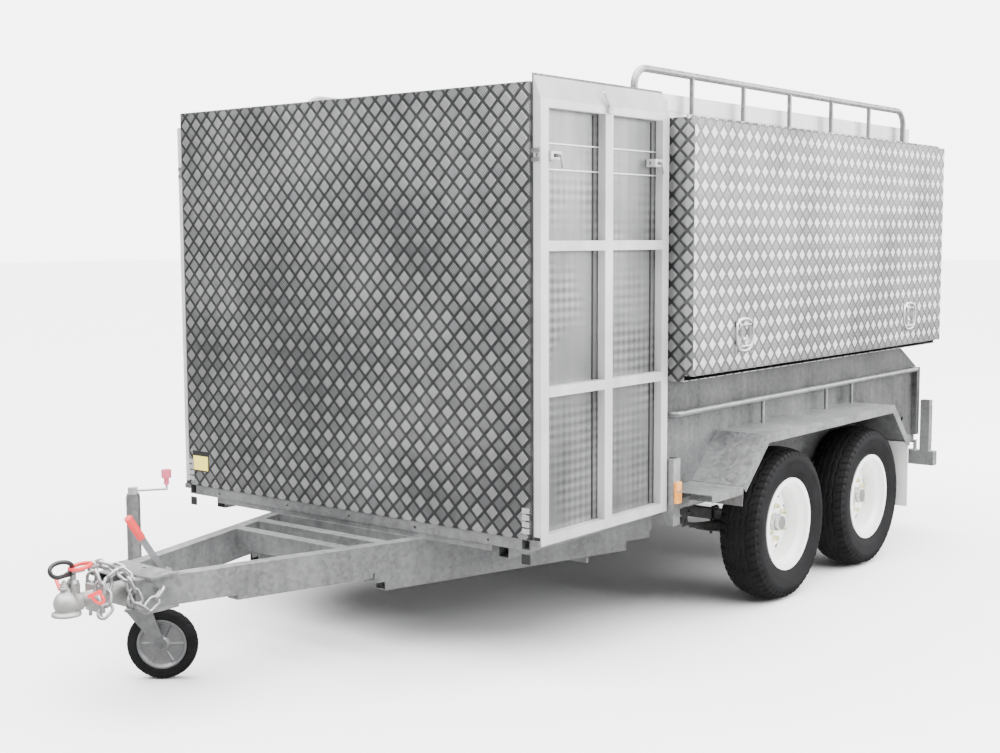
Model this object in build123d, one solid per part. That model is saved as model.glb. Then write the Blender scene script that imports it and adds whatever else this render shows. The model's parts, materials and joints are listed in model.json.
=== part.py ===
"""Tandem-axle stock and toolbox trailer: tread-plate front box with drop ramps, side toolboxes, roof rack.

Frame: +X is the trailer's left (kerb) side, -Y is forward, +Z is up, and Z = 0 is the ground.
The origin is the middle of the overall outline, on the ground. All sizes are in millimetres.
"""
import math
import os

from build123d import *

# ---- overall outline -------------------------------------------------------------------------
overall_length = 4670.0         # coupling nose to rear bar
body_half_width = 915.0         # outer face of the base rails and tray sides
guard_half_width = 1150.0       # outer face of the mudguards
panel_height = 2059.0           # top of the front panel above ground
base_bottom = 460.0             # underside of the base rails
rail_tube = 40.0                # square tube of the base rails and box frame
tube_wall = 3.0                 # wall of all square tubes
sheet = 3.0                     # thickness of plate and sheet
box_length = 863.0              # front box, from the front panel to the back of its rear posts
tray_length = 3335.0            # front panel to the back of the tray
face_gap = 0.3                  # gap between curved faces or bodies that only seat on each other
slide_gap = 0.05                # radial clearance of pins and shafts that turn or slide

# ---- coupling and drawbar --------------------------------------------------------------------
ball_radius = 25.0
ball_clearance = 0.5
socket_wall = 14.0
socket_flange_radius = 47.0
socket_flange_height = 8.0
coupling_height = 386.0         # ball centre above ground
ball_to_panel = 1231.0          # ball centre to the front panel
override_travel = 50.0          # how far the coupling head runs back when braking
shaft_radius = 25.0
body_tube_radius = 34.0
arm_height = 100.0
arm_width = 50.0
arm_wall = 4.0
arm_top = 438.0
arm_slope = 0.30                # sideways run of each arm per millimetre of length
arm_root_offset = 413.0         # outer face of the arm at the front panel
arm_front = 1040.0              # arm front end ahead of the panel
arm_back = 1060.0               # arm rear end behind the panel

# ---- wheels and suspension -------------------------------------------------------------------
tyre_radius = 325.0
tyre_half_width = 92.0
bead_radius = 180.0
rim_flange_radius = 197.0
rim_half_width = 78.0
track_half = 1020.0             # wheel centre plane from the centreline
front_axle_back = 1565.0        # front axle behind the front panel
axle_spacing = 804.0
axle_beam = 45.0
stub_radius = 20.0
spring_x = 765.0
spring_width = 45.0
spring_half_length = 347.0
spring_rise = 53.0
leaf_thickness = 7.0
leaf_count = 5
chassis_rail_size = 50.0
wheel_stud_circle = 139.7
wheel_stud_count = 6

# ---- ramps (side gates) ----------------------------------------------------------------------
ramp_gap = 3.0                  # base rail face to the ramp's inner skin
ramp_front = 10.0               # ramp front edge behind the panel
ramp_length = 805.0
ramp_skin = 2.0
ramp_tube = 35.0
ramp_bottom = 480.0
ramp_frame_top = 2002.0
ramp_tip = 2088.0
ramp_open_deg = 107.0
hinge_rod_radius = 4.0

# ---- toolboxes, lids and rack ----------------------------------------------------------------
toolbox_inner = 480.0           # inner wall from the centreline
toolbox_outer = 1010.0
toolbox_front = 842.0           # behind the front panel
toolbox_back = 3330.0
toolbox_bottom = 985.0
toolbox_top = 1990.0
lid_depth = 40.0
lid_front = 844.0
lid_back = 3308.0
lid_bottom = 1008.0
lid_top = 1985.0
lid_hinge_radius = 4.5
lid_pin_radius = 2.0
lid_hinge_out = 6.0             # hinge centre outboard of the toolbox edge
rack_x = 880.0
rack_tube_radius = 14.0
rack_post_radius = 10.0
rack_pitch = 415.0
rack_front = 685.0              # behind the front panel
rack_bays = 6
rack_top = 2172.0
rack_bend = 75.0
roof_half_width = 850.0         # rear roof pan
roof_top = 2095.0
fascia_depth = 65.0

# ---- mudguards, rails, rear end --------------------------------------------------------------
guard_profile = ((1061.0, 483.0), (1067.0, 562.0), (1265.0, 745.0), (2517.0, 745.0), (2709.0, 551.0),
                 (2712.0, 530.0))   # outer surface: back from the panel, height
guard_band = 35.0
shelf_front = 828.0
shelf_height = 560.0
post_size = 50.0
post_front = 823.0
post_outer = 980.0
post_bottom = 421.0
post_top = 685.0
rope_rail_x = 950.0
rope_rail_z = 850.0
rope_rail_radius = 12.0
rope_post_radius = 8.0
rear_bar_half_length = 1005.0
rear_bar_height = 75.0
rear_bar_top = 410.0
rear_bar_depth = 50.0
rear_cap = 14.0
rear_post_inner = 943.0
rear_post_top = 680.0
tie_hole_radius = 12.0
tie_hole_back = 3170.0
tie_hole_height = 595.0

# ---- jockey wheel and handbrake --------------------------------------------------------------
jockey_x = -198.0
jockey_ahead = 820.0            # stem ahead of the front panel
jockey_wheel_radius = 125.0
jockey_wheel_width = 44.0
jockey_trail = 89.0
jockey_heading = 38.9           # rest direction of the caster, degrees from +X
jockey_outer_radius = 24.0
jockey_inner_radius = 19.0
jockey_tube_bottom = 330.0
jockey_tube_top = 650.0
lever_ahead = 845.0
lever_pivot_z = 412.0
lever_length = 255.0
lever_angle = 56.0

# ---- places that follow from the sizes above -------------------------------------------------
y_ball = -overall_length / 2 + socket_flange_radius
y_panel = y_ball + ball_to_panel
base_top = base_bottom + rail_tube
y_rear = overall_length / 2
sides = (("left", 1), ("right", -1))
axles = (("front", y_panel + front_axle_back), ("rear", y_panel + front_axle_back + axle_spacing))
y_tray_back = y_panel + tray_length
y_box_back = y_panel + box_length
rail_bottom = base_bottom - chassis_rail_size
ramp_inner = body_half_width + ramp_gap
ramp_tube_inner = ramp_inner + ramp_skin
ramp_outer = ramp_tube_inner + ramp_tube
ramp_axis_x = ramp_tube_inner + ramp_tube / 2
ramp_axis_z = ramp_bottom + 7.0
y_ramp = (y_panel + ramp_front, y_panel + ramp_front + ramp_length)
floor_bottom = base_top - sheet


def block(x0, x1, y0, y1, z0, z1):
    """A box between two corners."""
    return Pos((x0 + x1) / 2, (y0 + y1) / 2, (z0 + z1) / 2) * Box(abs(x1 - x0), abs(y1 - y0), abs(z1 - z0))


def tube(x0, x1, y0, y1, z0, z1, along, wall=tube_wall):
    """A rectangular tube between two corners, open at both ends along one axis."""
    grow = {axis: (0 if axis == along else wall) for axis in "XYZ"}
    hole = block(x0 + grow["X"], x1 - grow["X"], y0 + grow["Y"], y1 - grow["Y"], z0 + grow["Z"], z1 - grow["Z"])
    return block(x0, x1, y0, y1, z0, z1) - hole


def rod(radius, start, end):
    """A round bar between two points."""
    a, b = Vector(*start), Vector(*end)
    return Solid.make_cylinder(radius, (b - a).length, Plane(origin=a, z_dir=(b - a).normalized()))


def other_side(shape):
    """The same piece on the right-hand side of the trailer."""
    return mirror(shape, about=Plane.YZ)


def on_side(shape, sign):
    return shape if sign > 0 else other_side(shape)


def save(name, solids):
    """Write one node as a STEP file."""
    pieces = []
    for item in solids:
        pieces.extend(item.solids())
    os.makedirs("parts", exist_ok=True)
    export_step(Compound(label=name, children=pieces), f"parts/{name}.step")


def strip_along(points, thickness, x0, x1, closed_side=-1):
    """A bent sheet: a profile in the YZ plane, thickened to one side and extruded along X."""
    path = [Vector(0, y, z) for y, z in points]
    inner = []
    for index, point in enumerate(path):
        before = (point - path[index - 1]).normalized() if index else None
        after = (path[index + 1] - point).normalized() if index + 1 < len(path) else None
        before, after = before or after, after or before
        normal_a = Vector(0, -before.Z, before.Y)
        normal_b = Vector(0, -after.Z, after.Y)
        bisector = (normal_a + normal_b).normalized()
        reach = thickness / bisector.dot(normal_a)
        inner.append(point + bisector * (closed_side * reach))
    outline = path + inner[::-1]
    face = Face(Wire.make_polygon([Vector(x0, p.Y, p.Z) for p in outline], close=True))
    return Solid.extrude(face, Vector(x1 - x0, 0, 0))


def turned(points_and_arcs):
    """A solid of revolution about the X axis, from a profile of (x, radius) points.

    A profile entry of three points is an arc through the middle one; two points are a line.
    """
    edges = []
    for entry in points_and_arcs:
        if len(entry) == 3:
            edges.append(ThreePointArc(*entry))
        else:
            edges.append(Line(*entry))
    profile = make_face(Curve() + edges)
    return revolve(profile, Axis.X)


# ---- wheels ----------------------------------------------------------------------------------
def tyre_solid():
    """Hollow tyre carcass, open towards the rim, centred on the origin."""
    casing = 10.0
    shoulder_x, shoulder_r = tyre_half_width - 14.0, tyre_radius - 13.0
    bulge_r = (bead_radius + shoulder_r) / 2
    bead_x = rim_half_width - rim_wall - 1.5
    lip_r = rim_flange_radius + 2.0
    inner_shoulder_x, inner_shoulder_r = shoulder_x - casing, shoulder_r - casing
    return turned([
        ((bead_x, bead_radius), (bead_x, lip_r)),
        ((bead_x, lip_r), (tyre_half_width, bulge_r), (shoulder_x, shoulder_r)),
        ((shoulder_x, shoulder_r), (0, tyre_radius), (-shoulder_x, shoulder_r)),
        ((-shoulder_x, shoulder_r), (-tyre_half_width, bulge_r), (-bead_x, lip_r)),
        ((-bead_x, lip_r), (-bead_x, bead_radius)),
        ((-bead_x, bead_radius), (-bead_x + casing, bead_radius)),
        ((-bead_x + casing, bead_radius), (-bead_x + casing, lip_r)),
        ((-bead_x + casing, lip_r), (-tyre_half_width + casing, bulge_r), (-inner_shoulder_x, inner_shoulder_r)),
        ((-inner_shoulder_x, inner_shoulder_r), (0, tyre_radius - casing), (inner_shoulder_x, inner_shoulder_r)),
        ((inner_shoulder_x, inner_shoulder_r), (tyre_half_width - casing, bulge_r), (bead_x - casing, lip_r)),
        ((bead_x - casing, lip_r), (bead_x - casing, bead_radius)),
        ((bead_x - casing, bead_radius), (bead_x, bead_radius)),
    ])


rim_wall = 4.0
rim_seat = bead_radius - face_gap
rim_well = 160.0
disc_outer_x = 6.0              # outer face of the rim's centre disc
disc_flat_radius = 90.0
hub_bore_radius = 37.0


def rim_solid():
    """Steel rim: flanged barrel with a drop centre and a disc with windows, centred on the origin."""
    well_half = rim_half_width - 38.0
    seat_half = rim_half_width - 18.0
    flange_x = rim_half_width
    outline = [(-flange_x, rim_flange_radius), (-flange_x + rim_wall, rim_flange_radius),
               (-flange_x + rim_wall + 1, rim_seat), (-seat_half, rim_seat), (-well_half, rim_well),
               (well_half, rim_well), (seat_half, rim_seat), (flange_x - rim_wall - 1, rim_seat),
               (flange_x - rim_wall, rim_flange_radius), (flange_x, rim_flange_radius),
               (flange_x, rim_seat - rim_wall), (seat_half, rim_seat - rim_wall),
               (well_half, rim_well - rim_wall), (-well_half, rim_well - rim_wall),
               (-seat_half, rim_seat - rim_wall), (-flange_x, rim_seat - rim_wall)]
    barrel = revolve(make_face(Polyline(*outline, close=True)), Axis.X)
    disc_back = disc_outer_x - rim_wall
    rise = 22.0
    disc_profile = [(disc_back, hub_bore_radius), (disc_outer_x, hub_bore_radius), (disc_outer_x, disc_flat_radius),
                    (disc_outer_x - rise, rim_well - rim_wall), (disc_back - rise, rim_well - rim_wall),
                    (disc_back, disc_flat_radius)]
    disc = revolve(make_face(Polyline(*disc_profile, close=True)), Axis.X)
    rim = barrel + disc
    window_count = 8
    for index in range(window_count):
        window = extrude(Plane.YZ * Pos(0, 120) * Triangle(a=38, b=38, c=38), 60, both=True)
        rim -= Rot((index + 0.5) * 360 / window_count, 0, 0) * window
    for index in range(wheel_stud_count):
        angle = math.radians((index + 0.5) * 360 / wheel_stud_count)
        y, z = wheel_stud_circle / 2 * math.cos(angle), wheel_stud_circle / 2 * math.sin(angle)
        rim -= rod(stud_radius + 0.5, (-60, y, z), (60, y, z))
    return rim


stud_radius = 6.0
nut_across = 19.0
hub_flange_radius = 84.0
hub_inner_x = -65.0
brake_disc_radius = 118.0
brake_disc_thickness = 10.0
disc_x = -52.0                  # outboard face of the brake disc


def hub_solids(with_disc):
    """Hub with its flange, bore, dust cap, studs and nuts, and on the front axle the brake disc."""
    flange_out = disc_outer_x - rim_wall
    flange_in = flange_out - 12.0
    hub = rod(hub_flange_radius, (flange_in, 0, 0), (flange_out, 0, 0))
    hub += rod(hub_bore_radius - 1.0, (hub_inner_x, 0, 0), (flange_out + 22.0, 0, 0))
    hub += rod(30.0, (flange_out + 22.0, 0, 0), (flange_out + 42.0, 0, 0))
    for index in range(wheel_stud_count):
        angle = math.radians((index + 0.5) * 360 / wheel_stud_count)
        y, z = wheel_stud_circle / 2 * math.cos(angle), wheel_stud_circle / 2 * math.sin(angle)
        hub += rod(stud_radius, (flange_in, y, z), (disc_outer_x + 24.0, y, z))
    hub -= rod(stub_radius + slide_gap, (hub_inner_x - 1, 0, 0), (flange_out, 0, 0))
    pieces = [hub]
    for index in range(wheel_stud_count):
        angle = math.radians((index + 0.5) * 360 / wheel_stud_count)
        y, z = wheel_stud_circle / 2 * math.cos(angle), wheel_stud_circle / 2 * math.sin(angle)
        hexagon = Plane.YZ * Pos(y, z) * RegularPolygon(nut_across / 2, 6, major_radius=False)
        nut = Pos(disc_outer_x, 0, 0) * extrude(hexagon, 18.0)
        pieces.append(nut - rod(stud_radius, (0, y, z), (60, y, z)))
    if with_disc:
        brake_disc = rod(brake_disc_radius, (disc_x - brake_disc_thickness, 0, 0), (disc_x, 0, 0))
        pieces.append(brake_disc - rod(hub_bore_radius - 1.0, (disc_x - 20, 0, 0), (disc_x + 1, 0, 0)))
    return pieces


def build_wheels():
    for axle_name, y_axle in axles:
        for side_name, sign in sides:
            place = Pos(sign * track_half, y_axle, tyre_radius)
            save(f"tyre_{axle_name}_{side_name}", [place * tyre_solid()])
            save(f"rim_{axle_name}_{side_name}", [place * on_side(rim_solid(), sign)])
            hub = [place * on_side(piece, sign) for piece in hub_solids(axle_name == "front")]
            save(f"hub_{axle_name}_{side_name}", hub)


# ---- suspension ------------------------------------------------------------------------------
axle_bottom = tyre_radius - axle_beam / 2
spring_top = axle_bottom - face_gap
eye_z = spring_top + spring_rise
eye_radius = 16.0
spring_pin_radius = 8.0
hanger_plate = 5.0
hanger_in = spring_x - chassis_rail_size / 2
hanger_out = spring_x + chassis_rail_size / 2


def build_axles():
    """Square axle beams with stubs, and a brake caliper on each front wheel's inner side."""
    solids = []
    beam_half = track_half + hub_inner_x - 60.0
    stub_end = track_half + disc_outer_x - rim_wall - 8.0
    for axle_name, y_axle in axles:
        beam = block(-beam_half, beam_half, y_axle - axle_beam / 2, y_axle + axle_beam / 2,
                     axle_bottom, axle_bottom + axle_beam)
        beam += rod(stub_radius, (-stub_end, y_axle, tyre_radius), (stub_end, y_axle, tyre_radius))
        solids.append(beam)
        if axle_name == "front":
            for sign in (1, -1):
                solids.append(on_side(caliper_at(y_axle, beam_half), sign))
    save("axles", solids)


def caliper_at(y_axle, beam_half):
    """A caliper straddling the disc above the axle, on a bracket from the beam."""
    disc_out = track_half + disc_x
    disc_in = disc_out - brake_disc_thickness
    pad_gap = 1.0
    z_low, z_high = tyre_radius + 78.0, tyre_radius + brake_disc_radius + 12.0
    body = block(disc_in - 34, disc_out + 22, y_axle - 38, y_axle + 38, z_low, z_high)
    slot = rod(brake_disc_radius + 3, (disc_in - pad_gap, y_axle, tyre_radius),
               (disc_out + pad_gap, y_axle, tyre_radius))
    bracket = block(beam_half - 12, disc_in - 22, y_axle - 20, y_axle + 20,
                    axle_bottom + axle_beam, z_low + 30)
    return body - slot + bracket


def leaf(half_length, r_in, r_out, y_mid, z_centre):
    """One spring leaf: an arc about a centre above the axle."""
    ends = math.asin(half_length / r_in)
    def at(radius, angle):
        return Vector(0, y_mid + radius * math.sin(angle), z_centre - radius * math.cos(angle))
    edges = [ThreePointArc(at(r_in, -ends), at(r_in, 0), at(r_in, ends)),
             Line(at(r_in, ends), at(r_out, ends)),
             ThreePointArc(at(r_out, ends), at(r_out, 0), at(r_out, -ends)),
             Line(at(r_out, -ends), at(r_in, -ends))]
    face = make_face(Curve() + edges)
    return Pos(spring_x - spring_width / 2, 0, 0) * extrude(face, spring_width, dir=(1, 0, 0))


def build_springs():
    radius = (spring_half_length ** 2 + spring_rise ** 2) / (2 * spring_rise)
    z_centre = spring_top + radius
    solids = []
    for _, y_axle in axles:
        top_leaf = leaf(spring_half_length - eye_radius * 0.6, radius, radius + leaf_thickness, y_axle, z_centre)
        for end in (-1, 1):
            y_eye = y_axle + end * spring_half_length
            top_leaf += rod(eye_radius, (spring_x - spring_width / 2, y_eye, eye_z),
                            (spring_x + spring_width / 2, y_eye, eye_z))
        for end in (-1, 1):
            y_eye = y_axle + end * spring_half_length
            top_leaf -= rod(spring_pin_radius + slide_gap, (spring_x - spring_width, y_eye, eye_z),
                            (spring_x + spring_width, y_eye, eye_z))
        solids.append(top_leaf)
        for index in range(1, leaf_count):
            r_in = radius + index * (leaf_thickness + face_gap)
            length = spring_half_length * (1 - 0.17 * index)
            solids.append(leaf(length, r_in, r_in + leaf_thickness, y_axle, z_centre))
    save("leaf_springs", solids + [other_side(item) for item in solids])


def hanger(y_eye):
    """Two plates welded to the chassis rail's sides, with the spring pin through them."""
    plates = block(hanger_in - hanger_plate, hanger_in, y_eye - 20, y_eye + 20, eye_z - 22, base_bottom - 12)
    plates += block(hanger_out, hanger_out + hanger_plate, y_eye - 20, y_eye + 20, eye_z - 22, base_bottom - 12)
    return plates + rod(spring_pin_radius, (hanger_in - 14, y_eye, eye_z), (hanger_out + 14, y_eye, eye_z))


def spring_clamp(y_axle):
    """The plate under the spring, and two U-bolts through it over the axle."""
    plate_top = spring_top - leaf_count * (leaf_thickness + face_gap)
    solid = block(hanger_in - 12, hanger_out + 12, y_axle - 48, y_axle + 48, plate_top - 8, plate_top)
    leg = axle_beam / 2 + u_bolt_radius + 1
    top_z = axle_bottom + axle_beam + u_bolt_radius + 3.5
    low_z = plate_top - 24
    for x in (hanger_in - 5, hanger_out + 5):
        path = FilletPolyline((x, y_axle - leg, low_z), (x, y_axle - leg, top_z),
                              (x, y_axle + leg, top_z), (x, y_axle + leg, low_z), radius=2 * u_bolt_radius)
        start = Plane(origin=(x, y_axle - leg, low_z), z_dir=(0, 0, 1))
        solid += sweep(start * Circle(u_bolt_radius), path=path)
    return solid


u_bolt_radius = 6.0
y_equaliser = (axles[0][1] + axles[1][1]) / 2
equaliser_pivot_z = eye_z + 28.0


def build_hangers():
    solids = [hanger(axles[0][1] - spring_half_length), hanger(axles[1][1] + spring_half_length)]
    centre = block(hanger_in - hanger_plate, hanger_in, y_equaliser - 18, y_equaliser + 18,
                   equaliser_pivot_z - 16, base_bottom - 12)
    centre += block(hanger_out, hanger_out + hanger_plate, y_equaliser - 18, y_equaliser + 18,
                    equaliser_pivot_z - 16, base_bottom - 12)
    centre += rod(10, (hanger_in - 16, y_equaliser, equaliser_pivot_z), (hanger_out + 16, y_equaliser, equaliser_pivot_z))
    solids.append(centre)
    for _, y_axle in axles:
        solids.append(spring_clamp(y_axle))
    save("spring_hangers", solids + [other_side(item) for item in solids])


def build_equalisers():
    """The rocker between the two springs of a side: two plates outside the centre hanger."""
    half_span = axle_spacing / 2 - spring_half_length
    rocker_gap = 1.0
    solids = []
    low, high = eye_z - 18, equaliser_pivot_z + 20
    pins = []
    for end in (-1, 1):
        y_eye = y_equaliser + end * half_span
        pins.append((y_eye, eye_z))
    inner = hanger_in - hanger_plate - rocker_gap
    outer = hanger_out + hanger_plate + rocker_gap
    for x0, x1 in ((inner - 6, inner), (outer, outer + 6)):
        plate = block(x0, x1, y_equaliser - half_span - 20, y_equaliser + half_span + 20, low, eye_z + 18)
        plate += block(x0, x1, y_equaliser - 24, y_equaliser + 24, low, high)
        plate -= rod(10 + slide_gap, (x0 - 1, y_equaliser, equaliser_pivot_z), (x1 + 1, y_equaliser, equaliser_pivot_z))
        solids.append(plate)
    rocker = solids[0] + solids[1]
    for y_eye, z_eye in pins:
        rocker += rod(spring_pin_radius, (inner - 10, y_eye, z_eye), (outer + 10, y_eye, z_eye))
    save("equalisers", [rocker, other_side(rocker)])


# ---- drawbar ---------------------------------------------------------------------------------
def arm_point(y, inward):
    """X of a line inside the left arm's outer face, at a distance y behind the panel."""
    return arm_root_offset + arm_slope * y - inward * math.sqrt(1 + arm_slope ** 2)


def arm_prism(inset, y0, y1, z0, z1):
    corners = [(arm_point(y0, inset), y0), (arm_point(y1, inset), y1),
               (arm_point(y1, arm_width - inset), y1), (arm_point(y0, arm_width - inset), y0)]
    face = Face(Wire.make_polygon([Vector(x, y_panel + y, z0) for x, y in corners], close=True))
    return Solid.extrude(face, Vector(0, 0, z1 - z0))


def build_drawbar():
    arm_bottom = arm_top - arm_height
    outer = arm_prism(0, -arm_front, arm_back, arm_bottom, arm_top)
    inner = arm_prism(arm_wall, -arm_front, arm_back, arm_bottom + arm_wall, arm_top - arm_wall)
    arm = outer - inner
    save("drawbar_arm_left", [arm])
    save("drawbar_arm_right", [other_side(arm)])
    build_drawbar_crossmembers(arm_bottom)
    build_drawbar_stiffeners(arm_bottom)


def between_arms(y0, y1, z0, z1):
    """A member that spans between the arms' inner faces."""
    corners = [(arm_point(y0, arm_width), y0), (arm_point(y1, arm_width), y1),
               (-arm_point(y1, arm_width), y1), (-arm_point(y0, arm_width), y0)]
    face = Face(Wire.make_polygon([Vector(x, y_panel + y, z0) for x, y in corners], close=True))
    return Solid.extrude(face, Vector(0, 0, z1 - z0))


def build_drawbar_crossmembers(arm_bottom):
    """Cross tubes between the arms, packers up to the floor frame, and the nose plates."""
    solids = []
    depth = 75.0
    for y_front in (-300.0, -150.0, 0.0):
        member = between_arms(y_front, y_front + 50, arm_top - depth, arm_top)
        solids.append(member - between_arms(y_front + tube_wall, y_front + 50 - tube_wall,
                                            arm_top - depth + tube_wall, arm_top - tube_wall))
    for y_front in (4.0, 420.0, 980.0):
        solids.append(block(-hanger_in, hanger_in, y_panel + y_front, y_panel + y_front + 50, arm_top, base_bottom))
    nose_front, nose_back = -1010.0, -900.0
    half = arm_point(nose_back, 0)
    top = block(-half, half, y_panel + nose_front, y_panel + nose_back, arm_top, arm_top + 8)
    top -= rod(9, (0, y_panel - 930, arm_top - 1), (0, y_panel - 930, arm_top + 9))
    solids.append(top)
    solids.append(block(-half, half, y_panel + nose_front, y_panel + nose_back, arm_bottom - 8, arm_bottom))
    save("drawbar_crossmembers", solids)


def build_drawbar_stiffeners(arm_bottom):
    """Under each arm: a shallow strip ahead, then a deep channel with a rounded front end."""
    strip = arm_prism(0, -700, -200, arm_bottom - 18, arm_bottom)
    deep = arm_prism(0, -192, 1050, arm_bottom - 70, arm_bottom)
    deep -= arm_prism(arm_wall, -200, 1060, arm_bottom - 70 + arm_wall, arm_bottom)
    tail = block(0, 1200, y_panel + 930, y_panel + 1060, arm_bottom - 71, arm_bottom - 32)
    nose = block(0, 1200, y_panel - 200, y_panel - 150, arm_bottom - 71, arm_bottom - 38)
    flange = arm_prism(-14, 716, 728, arm_bottom - 90, arm_bottom - 70)
    piece = deep - tail - nose
    save("drawbar_stiffeners", [strip, piece, flange, other_side(strip), other_side(piece), other_side(flange)])


# ---- floor frame, tray, front box ------------------------------------------------------------
def build_floor_frame():
    """Side base rails, front base rail, floor crossmembers and the two chassis rails."""
    solids = []
    rail = tube(body_half_width - rail_tube, body_half_width, y_panel, y_tray_back, base_bottom, base_top, "Y")
    solids += [rail, other_side(rail)]
    inner = body_half_width - rail_tube
    front = tube(-inner, inner, y_panel, y_panel + rail_tube, base_bottom, base_top, "X")
    for x in (-726, -311, 35, 377, 726):
        front -= rod(5, (x, y_panel - 1, base_bottom + 17), (x, y_panel + tube_wall + 1, base_bottom + 17))
    solids.append(front)
    count = 8
    for index in range(1, count + 1):
        y0 = y_panel + rail_tube + index * (tray_length - 2 * rail_tube) / count - rail_tube * (index == count)
        solids.append(tube(-inner, inner, y0, y0 + rail_tube, base_bottom, floor_bottom, "X"))
    chassis = tube(hanger_in, hanger_out, y_panel + rail_tube, y_tray_back, rail_bottom, base_bottom, "Y")
    solids += [chassis, other_side(chassis)]
    save("floor_frame", solids)


def build_tray():
    """Floor plate, and two tray sides under the toolboxes with a sloping rear corner."""
    inner = body_half_width - rail_tube
    floor = block(-inner, inner, y_panel + rail_tube, y_tray_back, floor_bottom, base_top)
    slope_start, slope_low = 3098.0, 860.0
    outline = [(y_box_back, base_top), (y_tray_back, base_top), (y_tray_back, slope_low),
               (y_panel + slope_start, toolbox_bottom), (y_box_back, toolbox_bottom)]
    face = Face(Wire.make_polygon([Vector(body_half_width - sheet, y, z) for y, z in outline], close=True))
    side = Solid.extrude(face, Vector(sheet, 0, 0))
    tie_y = y_panel + tie_hole_back
    side -= rod(tie_hole_radius, (body_half_width - 20, tie_y, tie_hole_height),
                (body_half_width + 20, tie_y, tie_hole_height))
    corner = block(body_half_width, body_half_width + 25, y_tray_back - 40, y_tray_back, base_top, slope_low - 5)
    save("tray", [floor, side + corner, other_side(side + corner)])


def build_box_frame():
    """Square-tube frame of the front box, and the ramps' hinge rods with their front lugs."""
    outer, inner = body_half_width, body_half_width - rail_tube
    top1 = panel_height - sheet
    top0 = top1 - rail_tube
    y_front, y_back = y_panel + rail_tube, y_box_back - rail_tube
    solids = []
    for sign in (1, -1):
        for y0 in (y_panel, y_back):
            post = tube(inner, outer, y0, y0 + rail_tube, base_top, top1, "Z")
            solids += [on_side(item, sign) for item in [post] + bolt_keeper(y0)]
        solids.append(on_side(tube(inner, outer, y_front, y_back, top0, top1, "Y"), sign))
        rod_end = y_panel + post_front
        lug_back = y_ramp[0] - 1.5
        lug = block(outer, ramp_outer, y_panel + 2, lug_back, ramp_axis_z - 7, base_top - 1)
        hinge_rod = rod(hinge_rod_radius, (ramp_axis_x, y_panel + 2, ramp_axis_z), (ramp_axis_x, rod_end, ramp_axis_z))
        solids.append(on_side(lug + hinge_rod, sign))
    for y0 in (y_panel, y_back):
        solids.append(tube(-inner, inner, y0, y0 + rail_tube, top0, top1, "X"))
    save("front_box_frame", solids)


def bolt_keeper(y_post):
    """Two lugs welded on a post's outer face; the ramp's bolt shoots between them."""
    if y_post < y_ramp[0]:
        y0 = y_ramp[0] - keeper_gap - keeper_thickness
    else:
        y0 = y_post + keeper_gap
    y1 = y0 + keeper_thickness
    x1 = ramp_bolt_line + keeper_lug
    low, high = ramp_bolt_z - bolt_radius - keeper_clearance, ramp_bolt_z + bolt_radius + keeper_clearance
    return [block(body_half_width, x1, y0, y1, low - keeper_lug, low),
            block(body_half_width, x1, y0, y1, high, high + keeper_lug)]


def build_front_panel():
    """Full tread-plate front with returned side edges."""
    half = body_half_width
    panel = block(-half, half, y_panel - sheet, y_panel, base_top, panel_height)
    for sign in (1, -1):
        panel += on_side(block(half, half + 1.5, y_panel - sheet, y_panel + 6, base_top, panel_height), sign)
    save("front_panel", [panel])


def build_roof():
    """Front roof sheet, rear roof pan with deep side fascias, and the upstands it sits on."""
    front = block(-body_half_width, body_half_width, y_panel, y_box_back, panel_height - sheet, panel_height)
    y0, y1 = y_box_back + 1, y_panel + toolbox_back
    pan = block(-roof_half_width, roof_half_width, y0, y1, roof_top - fascia_depth, roof_top)
    pan -= block(-roof_half_width + sheet, roof_half_width - sheet, y0 + sheet, y1 - sheet,
                 roof_top - fascia_depth - 1, roof_top - sheet)
    inside = roof_half_width - sheet
    upstand = block(inside - sheet, inside, y0 + sheet, y1 - sheet, toolbox_top, roof_top - sheet)
    save("roof_panel", [front, pan, upstand, other_side(upstand)])


# ---- ramps -----------------------------------------------------------------------------------
bolt_radius = 6.0
keeper_thickness = 3.0
keeper_gap = 1.0
keeper_clearance = 2.0
keeper_lug = 14.0
ramp_bolt_z = 1815.0
stile = 44.0
mid_stile_back = 392.0
mid_stile_width = 48.0
rail_heights = (1010.0, 1510.0)
rail_height_size = 35.0


def ramp_bars():
    """The ramp frame's bars as (y0, y1, z0, z1): three stiles, then the rails between them."""
    y0, y1 = y_ramp
    mid = y_panel + mid_stile_back
    stiles = [(y0, y0 + stile), (mid, mid + mid_stile_width), (y1 - stile, y1)]
    bars = [(a, b, ramp_bottom + ramp_tube, ramp_frame_top) for a, b in stiles]
    rails = [(z - rail_height_size / 2, z + rail_height_size / 2) for z in rail_heights]
    rails.append((ramp_frame_top - ramp_head, ramp_frame_top))
    for (_, a), (b, _) in zip(stiles, stiles[1:]):
        bars += [(a, b, z0, z1) for z0, z1 in rails]
    return bars


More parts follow.
